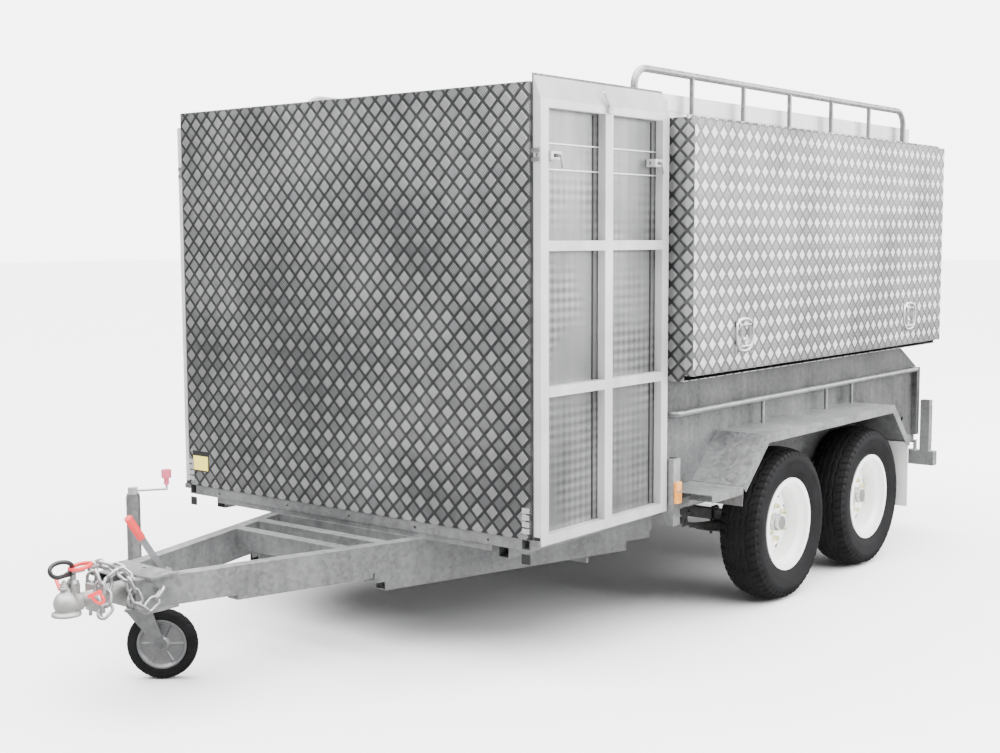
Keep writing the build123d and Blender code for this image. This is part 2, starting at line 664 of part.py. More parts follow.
def ramp_frame():
    """Folded channels, open towards the skin; the bottom rail is closed where the hinge rod enters."""
    y0, y1 = y_ramp
    x0, x1 = ramp_tube_inner, ramp_outer
    bottom = (y0, y1, ramp_bottom, ramp_bottom + ramp_tube)
    frame = block(x0, x1, *bottom)
    cavities = [(y0 + hinge_block, y1 - hinge_block, bottom[2] + tube_wall, bottom[3] - tube_wall)]
    for a, b, z0, z1 in ramp_bars():
        frame += block(x0, x1, a, b, z0, z1)
        cavities.append((a + tube_wall, b - tube_wall, z0 + tube_wall, z1 - tube_wall))
    for a, b, z0, z1 in cavities:
        frame -= block(x0 - 1, x1 - tube_wall, a, b, z0, z1)
    frame -= rod(hinge_rod_radius + slide_gap, (ramp_axis_x, y0 - 1, ramp_axis_z), (ramp_axis_x, y1 + 1, ramp_axis_z))
    for a, b in ((y0 - 1, y0 + stile + 1), (y1 - stile - 1, y1 + 1)):
        frame -= rod(bolt_radius + 1, (ramp_bolt_line, a, ramp_bolt_z), (ramp_bolt_line, b, ramp_bolt_z))
    return frame


def ramp_tip_wedge():
    """The hollow wedge above the frame, sloping back to the skin's top edge."""
    y0, y1 = y_ramp
    outline = [(ramp_tube_inner, ramp_frame_top), (ramp_outer, ramp_frame_top), (ramp_tube_inner, ramp_tip)]
    face = Face(Wire.make_polygon([Vector(x, y0, z) for x, z in outline], close=True))
    wedge = Solid.extrude(face, Vector(0, y1 - y0, 0))
    hollow = [(ramp_tube_inner, ramp_frame_top + wedge_wall), (ramp_outer - 2 * wedge_wall, ramp_frame_top + wedge_wall),
              (ramp_tube_inner, ramp_tip - 5 * wedge_wall)]
    face = Face(Wire.make_polygon([Vector(x, y0 + wedge_wall, z) for x, z in hollow], close=True))
    return wedge - Solid.extrude(face, Vector(0, y1 - y0 - 2 * wedge_wall, 0))


def bolt_housing(y_start):
    """A block on the skin that guides a bolt, slotted for the bolt's handle."""
    y_end = y_start + bolt_house
    housing = block(ramp_tube_inner, ramp_outer + 8, y_start, y_end, ramp_bolt_z - 14, ramp_bolt_z + 14)
    housing -= rod(bolt_radius + slide_gap, (ramp_bolt_line, y_start - 1, ramp_bolt_z),
                   (ramp_bolt_line, y_end + 1, ramp_bolt_z))
    return housing - block(ramp_bolt_line, ramp_outer + 20, y_start + 14, y_end - 14,
                           ramp_bolt_z - bolt_radius, ramp_bolt_z + bolt_radius)


def ramp_solids(with_tip):
    """A ramp: frame, skin behind it, top catch, bolt housings, and the wedge tip where it has one."""
    y0, y1 = y_ramp
    skin_top = ramp_tip if with_tip else ramp_frame_top
    skin = block(ramp_inner, ramp_tube_inner, y0, y1, ramp_bottom + ramp_skin, skin_top)
    tips = [ramp_tip_wedge()] if with_tip else []
    catch_y = y_panel + mid_stile_back + mid_stile_width / 2
    catch = block(ramp_outer, ramp_outer + 12, catch_y - 16, catch_y + 16, ramp_frame_top - 26, ramp_frame_top - 4)
    catch += rod(6, (ramp_outer + 8, catch_y, ramp_frame_top - 14),
                 (ramp_outer + 8, catch_y - 46, ramp_frame_top + 46))
    housings = [bolt_housing(y0 + stile + bolt_standoff), bolt_housing(y1 - stile - bolt_standoff - bolt_house)]
    return [ramp_frame(), skin, catch] + tips + housings


bolt_house = 60.0
bolt_standoff = 4.0
ramp_head = 28.0
hinge_block = 40.0
wedge_wall = 2.5
bolt_length = stile + bolt_house - 6.0
ramp_bolt_line = ramp_tube_inner + 18.0


def ramp_bolt(end):
    """A sliding bolt with a bent handle; drawn back at rest so that its nose is flush with the ramp edge."""
    if end < 0:
        nose = y_ramp[0] + 1.0
        tail = nose + bolt_length
        handle_y = y_ramp[0] + stile + bolt_standoff + bolt_house - 24
    else:
        nose = y_ramp[1] - 1.0
        tail = nose - bolt_length
        handle_y = y_ramp[1] - stile - bolt_standoff - bolt_house + 24
    bar = rod(bolt_radius, (ramp_bolt_line, nose, ramp_bolt_z), (ramp_bolt_line, tail, ramp_bolt_z))
    out = ramp_outer + 22
    bar += rod(4.5, (ramp_bolt_line, handle_y, ramp_bolt_z), (out, handle_y, ramp_bolt_z))
    bar += Pos(out, handle_y, ramp_bolt_z) * Sphere(4.5)
    bar += rod(4.5, (out, handle_y, ramp_bolt_z), (out + 8, handle_y, ramp_bolt_z - 42))
    return bar


def build_ramps():
    for side_name, sign in sides:
        save(f"ramp_{side_name}", [on_side(item, sign) for item in ramp_solids(side_name == "left")])
        for end_name, end in (("front", -1), ("rear", 1)):
            save(f"ramp_bolt_{side_name}_{end_name}", [on_side(ramp_bolt(end), sign)])


# ---- toolboxes -------------------------------------------------------------------------------
lid_hinge_x = toolbox_outer + lid_hinge_out
lid_hinge_z = toolbox_top + lid_hinge_radius
knuckle_count = 9
lock_backs = (1238.0, 2899.0)   # lid locks, behind the panel
lock_height = 1141.0
lock_half_width = 72.0
lock_half_height = 70.0
lid_outer = toolbox_outer + 0.5 + lid_depth


def knuckles(parity, radius, z_leaf):
    """Alternate hinge knuckles along the lid's top edge, with the small leaf that carries each."""
    y0, y1 = y_panel + lid_front, y_panel + lid_back
    pitch = (y1 - y0) / knuckle_count
    solids = []
    for index in range(knuckle_count):
        if index % 2 != parity:
            continue
        a, b = y0 + index * pitch + 1, y0 + (index + 1) * pitch - 1
        knuckle = rod(radius, (lid_hinge_x, a, lid_hinge_z), (lid_hinge_x, b, lid_hinge_z))
        if parity:
            knuckle += block(toolbox_outer - 10, lid_hinge_x - 2, a, b, toolbox_top, toolbox_top + 2)
        else:
            knuckle += block(lid_hinge_x - 2, lid_hinge_x + 2, a, b, z_leaf, lid_hinge_z - 2.5)
        solids.append(knuckle)
    return solids


def build_toolboxes():
    y0, y1 = y_panel + toolbox_front, y_panel + toolbox_back
    x0, x1 = toolbox_inner, toolbox_outer
    z0, z1 = toolbox_bottom, toolbox_top
    pin = rod(lid_pin_radius, (lid_hinge_x, y_panel + lid_front + 1, lid_hinge_z),
              (lid_hinge_x, y_panel + lid_back - 1, lid_hinge_z))
    walls = [
        block(x0, x0 + sheet, y_box_back, y1, base_top, roof_top - fascia_depth - 8),
        block(x0 + sheet, x1, y0, y1, z0, z0 + sheet),
        block(x0 + sheet, x1, y0, y1, z1 - sheet, z1),
        block(x0 + sheet, x1, y0, y0 + sheet, z0 + sheet, z1 - sheet),
        block(x0 + sheet, x1, y1 - sheet, y1, z0 + sheet, z1 - sheet),
    ]
    walls[1] = walls[1] - block(0, body_half_width + 1, y0 - 1, y_box_back, z0 - 1, z0 + sheet + 1)
    walls[2] = walls[2] - block(0, body_half_width + 1, y0 - 1, y_box_back, z1 - 20, z1 + 1)
    walls[3] = block(body_half_width + 1, x1, y0, y0 + sheet, z0 + sheet, z1 - sheet)
    bulkhead = block(x0 + sheet, body_half_width - 1, y_box_back, y_box_back + sheet, z0 + sheet, z1 - sheet)
    for knuckle in knuckles(1, lid_hinge_radius, 0):
        pin += knuckle
    for side_name, sign in sides:
        save(f"toolbox_{side_name}", [on_side(item, sign) for item in walls + [bulkhead, pin]])
        save(f"lid_{side_name}", [on_side(item, sign) for item in lid_solids()])
        for index, end_name in enumerate(("front", "rear")):
            handle = lock_handle(y_panel + lock_backs[index])
            save(f"lock_handle_{side_name}_{end_name}", [on_side(handle, sign)])


def lid_solids():
    """Tread-plate lid pan hinged at the top, with a dished lock plate at each end of its lower edge."""
    x0, x1 = toolbox_outer + 0.5, lid_outer
    y0, y1 = y_panel + lid_front, y_panel + lid_back
    pan = block(x0, x1, y0, y1, lid_bottom, lid_top)
    pan -= block(x0 - 1, x1 - sheet, y0 + sheet, y1 - sheet, lid_bottom + sheet, lid_top - sheet)
    for knuckle in knuckles(0, lid_hinge_radius, lid_top - 1):
        bore = rod(lid_pin_radius + slide_gap, (lid_hinge_x, y0 - 1, lid_hinge_z), (lid_hinge_x, y1 + 1, lid_hinge_z))
        pan += knuckle - bore
    solids = [pan]
    for back in lock_backs:
        y = y_panel + back
        dish = block(x1, x1 + 4, y - lock_half_width, y + lock_half_width,
                     lock_height - lock_half_height, lock_height + lock_half_height)
        dish -= block(x1 + 1, x1 + 5, y - lock_half_width + 9, y + lock_half_width - 9,
                      lock_height - lock_half_height + 9, lock_height + lock_half_height - 9)
        for end in (-1, 1):
            dish += block(x1 + 1, x1 + 13, y + end * 52 - 4, y + end * 52 + 4, lock_pivot_z - 7, lock_pivot_z + 7)
            dish -= rod(3 + slide_gap, (x1 + 8, y - 60, lock_pivot_z), (x1 + 8, y + 60, lock_pivot_z))
        solids.append(dish)
    return solids


lock_pivot_z = lock_height + 46.0


def lock_handle(y):
    """A folding D-handle that lies flat in its dish and swings out about its upper edge."""
    x = lid_outer + 8
    handle = rod(3, (x, y - 57, lock_pivot_z), (x, y + 57, lock_pivot_z))
    for end in (-1, 1):
        handle += rod(3, (x, y + end * 36, lock_pivot_z), (x, y + end * 36, lock_height - 40))
    handle += rod(5, (x, y - 39, lock_height - 40), (x, y + 39, lock_height - 40))
    return handle


# ---- roof rack -------------------------------------------------------------------------------
def build_rack():
    """On each side: a long hoop of round tube with short posts below it."""
    y0 = y_panel + rack_front
    y1 = y0 + rack_bays * rack_pitch
    path = FilletPolyline((rack_x, y0, panel_height), (rack_x, y0, rack_top), (rack_x, y1, rack_top),
                          (rack_x, y1, toolbox_top), radius=rack_bend)
    start = Plane(origin=(rack_x, y0, panel_height), z_dir=(0, 0, 1))
    hoop = sweep(start * Circle(rack_tube_radius), path=path)
    for index in range(1, rack_bays):
        y = y0 + index * rack_pitch
        hoop += rod(rack_post_radius, (rack_x, y, toolbox_top), (rack_x, y, rack_top))
    save("roof_rack", [hoop, other_side(hoop)])


# ---- mudguards and fittings ------------------------------------------------------------------
def guard_solid():
    """A bent sheet over both wheels with an outer edge band, the shelf ahead of it and its front post."""
    points = [(y_panel + y, z) for y, z in guard_profile]
    x0, x1 = body_half_width, guard_half_width
    guard = strip_along(points, sheet, x0, x1)
    guard += strip_along(points[1:-1], guard_band, x1 - sheet, x1)
    shelf = block(x0, x1, y_panel + shelf_front, points[1][0] + 1, shelf_height - sheet, shelf_height)
    shelf += block(x1 - sheet, x1, y_panel + shelf_front, points[1][0], shelf_height - 30, shelf_height)
    notch = block(x0 - 1, post_outer + 14, y_panel, y_panel + post_front + post_size, shelf_height - 40, shelf_height + 1)
    shelf -= notch
    post = tube(post_outer - post_size, post_outer, y_panel + post_front, y_panel + post_front + post_size,
                post_bottom, post_top, "Z")
    tie = block(body_half_width, post_outer - post_size, y_panel + post_front, y_panel + post_front + post_size - 12,
                post_bottom + 45, post_bottom + 70)
    return [guard + shelf, post, tie]


def build_guards():
    lamp_z = 551.0
    for side_name, sign in sides:
        save(f"mudguard_{side_name}", [on_side(item, sign) for item in guard_solid()])
    flap_back = y_panel + guard_profile[4][0] - sheet
    flap = block(body_half_width + 15, guard_half_width - 5, flap_back - 5, flap_back, 231, 546)
    save("mudflaps", [flap, other_side(flap)])
    lamp = block(post_outer, post_outer + 12, y_panel + post_front + 8, y_panel + post_front + post_size - 6,
                 lamp_z - 42, lamp_z + 42)
    save("side_marker_lamps", [lamp, other_side(lamp)])
    build_rope_rails()


rope_bend = 24.0
rope_elbow = 30.0
rope_front_back = 885.0
rope_end_ahead = 60.0
rope_post_backs = (1592.0, 2201.0, 2475.0)


def rope_elbow_at(y_wall, direction):
    """A quarter elbow from the tray side out to the rail; direction is the rail's way along Y."""
    start = (body_half_width, y_wall, rope_rail_z)
    path = FilletPolyline(start, (rope_rail_x, y_wall, rope_rail_z),
                          (rope_rail_x, y_wall + direction * rope_elbow, rope_rail_z), radius=rope_bend)
    return sweep(Plane(origin=start, z_dir=(1, 0, 0)) * Circle(rope_rail_radius), path=path)


def build_rope_rails():
    """Per side: a straight rail, an elbow at each end and three upright posts off the mudguard."""
    front, back = y_panel + rope_front_back, y_tray_back - rope_end_ahead
    straight = rod(rope_rail_radius, (rope_rail_x, front + rope_elbow, rope_rail_z),
                   (rope_rail_x, back - rope_elbow, rope_rail_z))
    solids = [straight, rope_elbow_at(front, 1), rope_elbow_at(back, -1)]
    for y in rope_post_backs:
        post = rod(rope_post_radius, (rope_rail_x, y_panel + y, guard_profile[2][1]),
                   (rope_rail_x, y_panel + y, rope_rail_z))
        solids.append(post - straight)
    save("rope_rails", solids + [other_side(item) for item in solids])


# ---- rear end --------------------------------------------------------------------------------
tailgate_half = 895.0
tailgate_bottom = 512.0
tailgate_top = 858.0
tailgate_thickness = 30.0
tailgate_axis_z = 451.0
rear_post_width = 50.0
lamp_depth = 10.0
lamp_inset = 3.0
lamp_bottom, lamp_top = 450.0, 650.0
y_bar = y_rear - rear_bar_depth
tailgate_front = y_tray_back + 1.0
tailgate_axis_y = tailgate_front + tailgate_thickness + 4.0


def build_rear_frame():
    """Rear bar with end caps, stub posts, and the lugs and rod that the tailgate hinges on."""
    half = rear_bar_half_length
    bar = tube(-half, half, y_bar, y_rear, rear_bar_top - rear_bar_height, rear_bar_top, "X", 4.0)
    solids = [bar]
    for sign in (1, -1):
        cap = block(half, half + rear_cap, y_bar, y_rear, rear_bar_top - rear_bar_height, rear_bar_top)
        solids.append(on_side(cap, sign))
        solids.append(on_side(tube(rear_post_inner, rear_post_inner + rear_post_width, y_bar, y_rear - lamp_depth,
                                   rear_bar_top, rear_post_top, "Z"), sign))
        solids.append(on_side(block(hanger_in, hanger_out, y_tray_back, y_bar,
                                    rail_bottom - 20, base_bottom), sign))
    rod_half = tailgate_half + 14
    hinge = rod(6, (-rod_half, tailgate_axis_y, tailgate_axis_z), (rod_half, tailgate_axis_y, tailgate_axis_z))
    for x in (-rod_half, -300, 300, rod_half - 8):
        hinge += block(x, x + 8, tailgate_axis_y - 10, y_rear, rear_bar_top, tailgate_axis_z + 10)
    solids.append(hinge)
    save("rear_frame", solids)


def build_tailgate():
    """Drop tailgate: a skin on a folded frame, with knuckles on the rear hinge rod."""
    y0, y1 = tailgate_front, tailgate_front + tailgate_thickness
    gate = block(-tailgate_half, tailgate_half, y0, y1, tailgate_bottom, tailgate_top)
    bays = 4
    width = (2 * tailgate_half - 40) / bays
    for index in range(bays):
        x0 = -tailgate_half + 40 + index * width
        gate -= block(x0, x0 + width - 40, y0 + sheet, y1 + 1, tailgate_bottom + 40, tailgate_top - 40)
    bore = rod(6 + slide_gap, (-tailgate_half, tailgate_axis_y, tailgate_axis_z),
               (tailgate_half, tailgate_axis_y, tailgate_axis_z))
    for x in (-600, 0, 600):
        arm = block(x - 40, x + 40, y1 - 4, tailgate_axis_y + 3, tailgate_axis_z, tailgate_bottom + 30)
        arm += rod(11, (x - 40, tailgate_axis_y, tailgate_axis_z), (x + 40, tailgate_axis_y, tailgate_axis_z))
        gate += arm
    save("tailgate", [gate - bore])


def build_tail_lamps():
    """Lamp clusters on the rear faces of the stub posts."""
    lamp = block(rear_post_inner + lamp_inset, rear_post_inner + rear_post_width - lamp_inset,
                 y_rear - lamp_depth, y_rear, lamp_bottom, lamp_top)
    save("tail_lamps", [lamp, other_side(lamp)])


# ---- jockey wheel ----------------------------------------------------------------------------
def build_jockey():
    """Clamp and outer tube, sliding inner tube, crank, swivelling fork and wheel."""
    y = y_panel - jockey_ahead
    x = jockey_x
    outer = rod(jockey_outer_radius, (x, y, jockey_tube_bottom), (x, y, jockey_tube_top))
    bore = jockey_inner_radius + slide_gap
    outer -= rod(bore, (x, y, jockey_tube_bottom - 1), (x, y, jockey_tube_top + 1))
    neck = rod(jockey_outer_radius - 2, (x, y, jockey_tube_top), (x, y, jockey_tube_top + 8))
    neck -= rod(screw_radius + 1, (x, y, jockey_tube_top - 1), (x, y, jockey_tube_top + 9))
    save("jockey_outer_tube", [outer + neck, clamp_with_plate(x, y)])
    build_jockey_inner(x, y)


screw_radius = 9.0
jockey_screw_bottom = 420.0
fork_top = 265.0


def clamp_with_plate(x, y):
    """The clamp ring on the stem and the block that bolts it to the arm's outer face."""
    ring = rod(jockey_outer_radius + 5, (x, y, 350), (x, y, 426))
    y_rel = -jockey_ahead
    corners = [(x + 5, y - 28), (-arm_point(y_rel - 28, 0), y - 28), (-arm_point(y_rel + 28, 0), y + 28),
               (x + 5, y + 28)]
    face = Face(Wire.make_polygon([Vector(cx, cy, 350) for cx, cy in corners], close=True))
    clamp = ring + Solid.extrude(face, Vector(0, 0, 76))
    handle = rod(6, (x, y - 28, 388), (x, y - 70, 388)) + rod(5, (x - 30, y - 68, 388), (x + 30, y - 68, 388))
    return clamp + handle - rod(jockey_outer_radius, (x, y, 349), (x, y, 427))


def build_jockey_inner(x, y):
    inner = rod(jockey_inner_radius, (x, y, fork_top + 12), (x, y, jockey_tube_top - 40))
    inner -= rod(screw_radius + 2, (x, y, jockey_screw_bottom - 60), (x, y, jockey_tube_top))
    inner += rod(12, (x, y, fork_top - 12), (x, y, fork_top + 12))
    save("jockey_inner_tube", [inner])
    top = jockey_tube_top + 8
    crank = rod(screw_radius, (x, y, jockey_screw_bottom), (x, y, top))
    crank += rod(17, (x, y, top), (x, y, top + 22))
    heading = math.radians(jockey_heading)
    reach = 118.0
    ex, ey = x + reach * math.cos(heading), y + reach * math.sin(heading)
    crank += rod(5, (x, y, top + 11), (ex, ey, top + 17))
    crank += Pos(ex, ey, top + 17) * Sphere(5)
    crank += rod(4, (ex, ey, top + 17), (ex, ey, top + 32))
    knob = rod(9, (ex, ey, top + 32), (ex, ey, top + 56)) + rod(17, (ex, ey, top + 56), (ex, ey, top + 84))
    save("jockey_crank", [crank, knob])
    build_jockey_fork(x, y)


def build_jockey_fork(x, y):
    """Built along +X and turned to its rest heading about the stem."""
    turn = Pos(x, y, 0) * Rot(0, 0, jockey_heading)
    half = jockey_wheel_width / 2 + 5
    fork = block(-34, 44, -half - 5, half + 5, fork_top - 12 - 8, fork_top - 12)
    cheek_low = jockey_wheel_radius - 16
    outline = [(-34, fork_top - 12), (60, fork_top - 12), (jockey_trail + 18, jockey_wheel_radius),
               (jockey_trail, cheek_low), (jockey_trail - 18, jockey_wheel_radius)]
    for y0 in (-half - 5, half):
        face = Face(Wire.make_polygon([Vector(px, y0, pz) for px, pz in outline], close=True))
        fork += Solid.extrude(face, Vector(0, 5, 0))
    fork += rod(jockey_inner_radius, (0, 0, fork_top - 12), (0, 0, fork_top + 10))
    fork -= rod(12 + slide_gap, (0, 0, fork_top - 30), (0, 0, fork_top + 11))
    fork += rod(8, (jockey_trail, -half - 12, jockey_wheel_radius), (jockey_trail, half + 12, jockey_wheel_radius))
    save("jockey_fork", [turn * fork])
    tread_half = jockey_wheel_width / 2
    centre = turn * Pos(jockey_trail, 0, jockey_wheel_radius)
    edge = jockey_wheel_radius - 10
    tyre = revolve(make_face(Curve() + [
        Line((-tread_half + 3, 88), (-tread_half, edge)),
        ThreePointArc((-tread_half, edge), (0, jockey_wheel_radius), (tread_half, edge)),
        Line((tread_half, edge), (tread_half - 3, 88)), Line((tread_half - 3, 88), (-tread_half + 3, 88))]), Axis.X)
    rim = revolve(make_face(Polyline((-16, 88 - face_gap), (16, 88 - face_gap), (16, 78), (4, 74), (4, 26), (20, 26),
                                     (20, 8 + slide_gap), (-20, 8 + slide_gap), (-20, 26), (-4, 26), (-4, 74),
                                     (-16, 78), close=True)), Axis.X)
    spin = Rot(0, 0, 90)
    save("jockey_wheel", [centre * spin * tyre, centre * spin * rim])


# ---- coupling and handbrake ------------------------------------------------------------------
head_back = 46.0                # housing back face behind the ball centre


def build_coupling():
    z = coupling_height
    tube_front = y_ball + head_back + override_travel + 5
    tube_back = y_panel - 905
    body = rod(body_tube_radius, (0, tube_front, z), (0, tube_back, z))
    arm_bottom = arm_top - arm_height
    body += block(-42, 42, y_panel - 1030, tube_back, arm_bottom, z)
    body += block(-44, 44, tube_front, tube_front + 14, z - 48, z + 40)
    body += block(-8, 8, tube_back - 60, tube_back, z, arm_top)
    body -= rod(shaft_radius + slide_gap, (0, tube_front - 1, z), (0, tube_back + 1, z))
    bolts = [rod(6, (x, tube_front + 7, z - 66), (x, tube_front + 7, z - 48)) for x in (-28, 28)]
    lever_y = y_panel - lever_ahead
    bracket = between_lever_lugs(lever_y)
    save("coupling_body", [body] + bolts + bracket)
    build_coupling_head(z)


def between_lever_lugs(lever_y):
    """Two lugs that carry the handbrake lever's pivot, on a cross plate between the arms."""
    lug_z = lever_pivot_z
    plate = between_arms(-lever_ahead - 30, -lever_ahead + 30, 372, 380)
    for x in (-11, 6):
        plate += block(x, x + 5, lever_y - 22, lever_y + 22, 380, lug_z + 14)
    return [plate + rod(6, (-13, lever_y, lug_z), (13, lever_y, lug_z))]


def build_coupling_head(z):
    outer = ball_radius + socket_wall
    back = y_ball + head_back
    head = Pos(0, y_ball, z) * Sphere(outer)
    head += rod(socket_flange_radius, (0, y_ball, z - outer + 1), (0, y_ball, z - outer + 1 + socket_flange_height))
    head += block(-30, 30, y_ball, back, z - 30, z + 30)
    head += rod(shaft_radius, (0, back, z), (0, y_panel - 905 - override_travel - 2, z))
    head += rod(18, (0, y_ball - 6, z + outer - 8), (0, y_ball - 6, z + outer + 8))
    head += block(-16, -9, back - 34, back - 4, z + 28, z + 72)
    head += block(9, 16, back - 34, back - 4, z + 28, z + 72)
    head += rod(5, (-16, back - 18, z + 60), (16, back - 18, z + 60))
    head -= Pos(0, y_ball, z) * Sphere(ball_radius + ball_clearance)
    head -= rod(ball_radius + ball_clearance, (0, y_ball, z - outer - 5), (0, y_ball, z))
    head -= block(-60, 60, y_ball - 60, y_ball + 60, z - outer - 12, z - outer + 1)
    cone = Pos(0, y_ball - 6, z + outer + 8 + 14) * Cone(15, 5, 28)
    save("coupling_head", [head, cone])
    latch_y = back - 18
    latch = rod(9, (-8, latch_y, z + 60), (8, latch_y, z + 60))
    latch += block(-7, 7, latch_y - 7, latch_y + 7, z + 60, z + 98)
    latch += block(-7, 7, latch_y - 7, latch_y + 42, z + 92, z + 104)
    latch -= rod(5 + slide_gap, (-20, latch_y, z + 60), (20, latch_y, z + 60))
    save("coupling_latch", [latch])


def build_handbrake():
    """Flat lever with a grip, leaning forward from its pivot."""
    y, z = y_panel - lever_ahead, lever_pivot_z
    angle = math.radians(lever_angle)
    dy, dz = -math.cos(angle), math.sin(angle)
    lever = rod(13, (-4, y, z), (4, y, z))
    bar = Pos(0, y, z) * Rot(90 - lever_angle, 0, 0) * block(-4, 4, -11, 11, 0, lever_length - 92)
    grip = rod(14, (0, y + dy * (lever_length - 92), z + dz * (lever_length - 92)),
               (0, y + dy * lever_length, z + dz * lever_length))
    lever = lever + bar - rod(6 + slide_gap, (-10, y, z), (10, y, z))
    save("handbrake_lever", [lever, grip])


link_length = 62.0
link_width = 38.0
link_wire = 9.0


def one_link():
    r = (link_width - link_wire) / 2
    half = link_length / 2 - link_wire / 2 - r
    wire = Wire([Edge.make_line((0, -r, 0), (half, -r, 0)),
                 Edge.make_three_point_arc((half, -r, 0), (half + r, 0, 0), (half, r, 0)),
                 Edge.make_line((half, r, 0), (-half, r, 0)),
                 Edge.make_three_point_arc((-half, r, 0), (-half - r, 0, 0), (-half, -r, 0)),
                 Edge.make_line((-half, -r, 0), (0, -r, 0))])
    section = Plane(origin=(0, -r, 0), z_dir=(1, 0, 0)) * Circle(link_wire / 2)
    return sweep(section, path=wire).solid()


link_pitch = link_length - 2 * link_wire - 0.6
chain_offset = 21.8             # first link's centre line from the arm's outer face
shackle_wire = 5.0
shackle_bend = 16.0


def chain_route():
    """From the arm's outer face, down in a sag, and up beside the coupling."""
    x = arm_point(-1000, 0) + chain_offset
    y = y_panel - 1000
    return Polyline((x, y + 20, 400), (x, y - 60, 330), (x * 0.9, y - 130, 330), (x * 0.75, y - 190, 420))


def laid_on(route, index):
    """The plane of one link: along the route at its place in the run, turned a quarter from the last."""
    distance = (index + 0.5) * link_pitch
    position = route.position_at(distance / route.length)
    ahead = route.position_at(min(1, (distance + link_pitch / 2) / route.length))
    behind = route.position_at(max(0, (distance - link_pitch / 2) / route.length))
    direction = (ahead - behind).normalized()
    side = Vector(0, 0, 1).cross(direction).normalized()
    plane = Plane(origin=position, x_dir=direction, z_dir=side.cross(direction) * -1)
    return plane * Rot(45 + 90 * (index % 2), 0, 0)


def bow_shackle():
    """A bent bar whose bow hooks the chain's last link, with its pin across the open end."""
    bow_x = shackle_bend - (link_pitch - link_length / 2 + link_wire / 2) - (shackle_wire + link_wire / 2 + 0.6)
    r, end = shackle_bend, 13.0
    path = Wire([Edge.make_line((end, -r, 0), (bow_x, -r, 0)),
                 Edge.make_three_point_arc((bow_x, -r, 0), (bow_x - r, 0, 0), (bow_x, r, 0)),
                 Edge.make_line((bow_x, r, 0), (end, r, 0))])
    bow = sweep(Plane(origin=(end, -r, 0), z_dir=(-1, 0, 0)) * Circle(shackle_wire), path=path)
    pin_radius = shackle_wire + 1
    return bow + rod(pin_radius, (end - 1, -r - 9, 0), (end - 1, r + 9, 0))


def build_chains():
    route = chain_route()
    count = int(route.length // link_pitch)
    links = [laid_on(route, index) * one_link() for index in range(count)]
    shackle = laid_on(route, count) * bow_shackle()
    save("safety_chains", links + [other_side(link) for link in links])
    save("shackles", [shackle, other_side(shackle)])


pipe_radius = 4.0
pipe_height = 352.0
pipe_inset = arm_width + 8.0
pipe_front, pipe_back = -870.0, 940.0
pipe_end_x = 620.0
pipe_bend = 60.0


def build_brake_pipe():
    """Rigid brake pipe from the coupling back along the left arm's inner face to the front axle."""
    front = (arm_point(pipe_front, pipe_inset), y_panel + pipe_front, pipe_height)
    back = (arm_point(pipe_back, pipe_inset), y_panel + pipe_back, pipe_height)
    knee = (pipe_end_x, y_panel + pipe_back + 310, pipe_height + 10)
    end = (pipe_end_x, axles[0][1] - axle_beam / 2 - 0.7, tyre_radius)
    path = FilletPolyline(front, back, knee, end, radius=pipe_bend)
    direction = (Vector(*back) - Vector(*front)).normalized()
    save("brake_pipe", [sweep(Plane(origin=front, z_dir=direction) * Circle(pipe_radius), path=path)])


def main():
    build_wheels()
    build_axles()
    build_springs()
    build_hangers()
    build_equalisers()
    build_drawbar()
    build_floor_frame()
    build_tray()
    build_box_frame()
    build_front_panel()
    build_roof()
    build_ramps()
    build_toolboxes()
    build_rack()
    build_guards()
    build_rear_frame()
    build_tailgate()
    build_tail_lamps()
    build_jockey()
    build_coupling()
    build_handbrake()
    build_chains()
    build_brake_pipe()


main()
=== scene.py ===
import json
import math

import bpy
import numpy as np
from mathutils import Matrix, Vector


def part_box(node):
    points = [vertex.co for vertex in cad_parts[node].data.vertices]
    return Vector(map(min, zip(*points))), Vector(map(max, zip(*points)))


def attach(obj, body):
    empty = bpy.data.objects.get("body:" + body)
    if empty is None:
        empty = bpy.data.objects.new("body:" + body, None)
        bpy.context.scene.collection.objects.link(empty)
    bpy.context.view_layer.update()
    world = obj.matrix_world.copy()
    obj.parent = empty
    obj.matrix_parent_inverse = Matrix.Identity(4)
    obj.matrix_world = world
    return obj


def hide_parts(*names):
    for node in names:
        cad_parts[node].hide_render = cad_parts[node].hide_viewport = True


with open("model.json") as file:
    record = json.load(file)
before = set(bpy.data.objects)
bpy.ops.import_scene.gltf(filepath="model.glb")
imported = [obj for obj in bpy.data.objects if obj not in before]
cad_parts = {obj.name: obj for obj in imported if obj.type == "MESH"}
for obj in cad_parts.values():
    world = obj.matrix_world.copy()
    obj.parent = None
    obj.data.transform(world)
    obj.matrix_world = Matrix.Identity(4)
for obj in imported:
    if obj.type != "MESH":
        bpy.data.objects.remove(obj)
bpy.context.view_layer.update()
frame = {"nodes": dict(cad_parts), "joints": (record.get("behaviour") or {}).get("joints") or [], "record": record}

bl_info = {
    "name": "Tandem stock trailer finish",
    "version": (1, 0, 0),
    "blender": (4, 5, 0),
    "location": "View3D > Sidebar > Trailer",
    "description": "Finishes, tyres, chains and fittings for a tread-plate stock and toolbox trailer",
    "category": "Object",
}

SIDES = (("left", 1.0), ("right", -1.0))
AXLES = ("front", "rear")


# ---- sizes and colours a user may change -----------------------------------------------------
def length(label, about, default):
    return bpy.props.FloatProperty(name=label, description=about, default=default, subtype="DISTANCE",
                                   unit="LENGTH")


def colour(label, about, default):
    return bpy.props.FloatVectorProperty(name=label, description=about, default=default, subtype="COLOR",
                                         size=3)


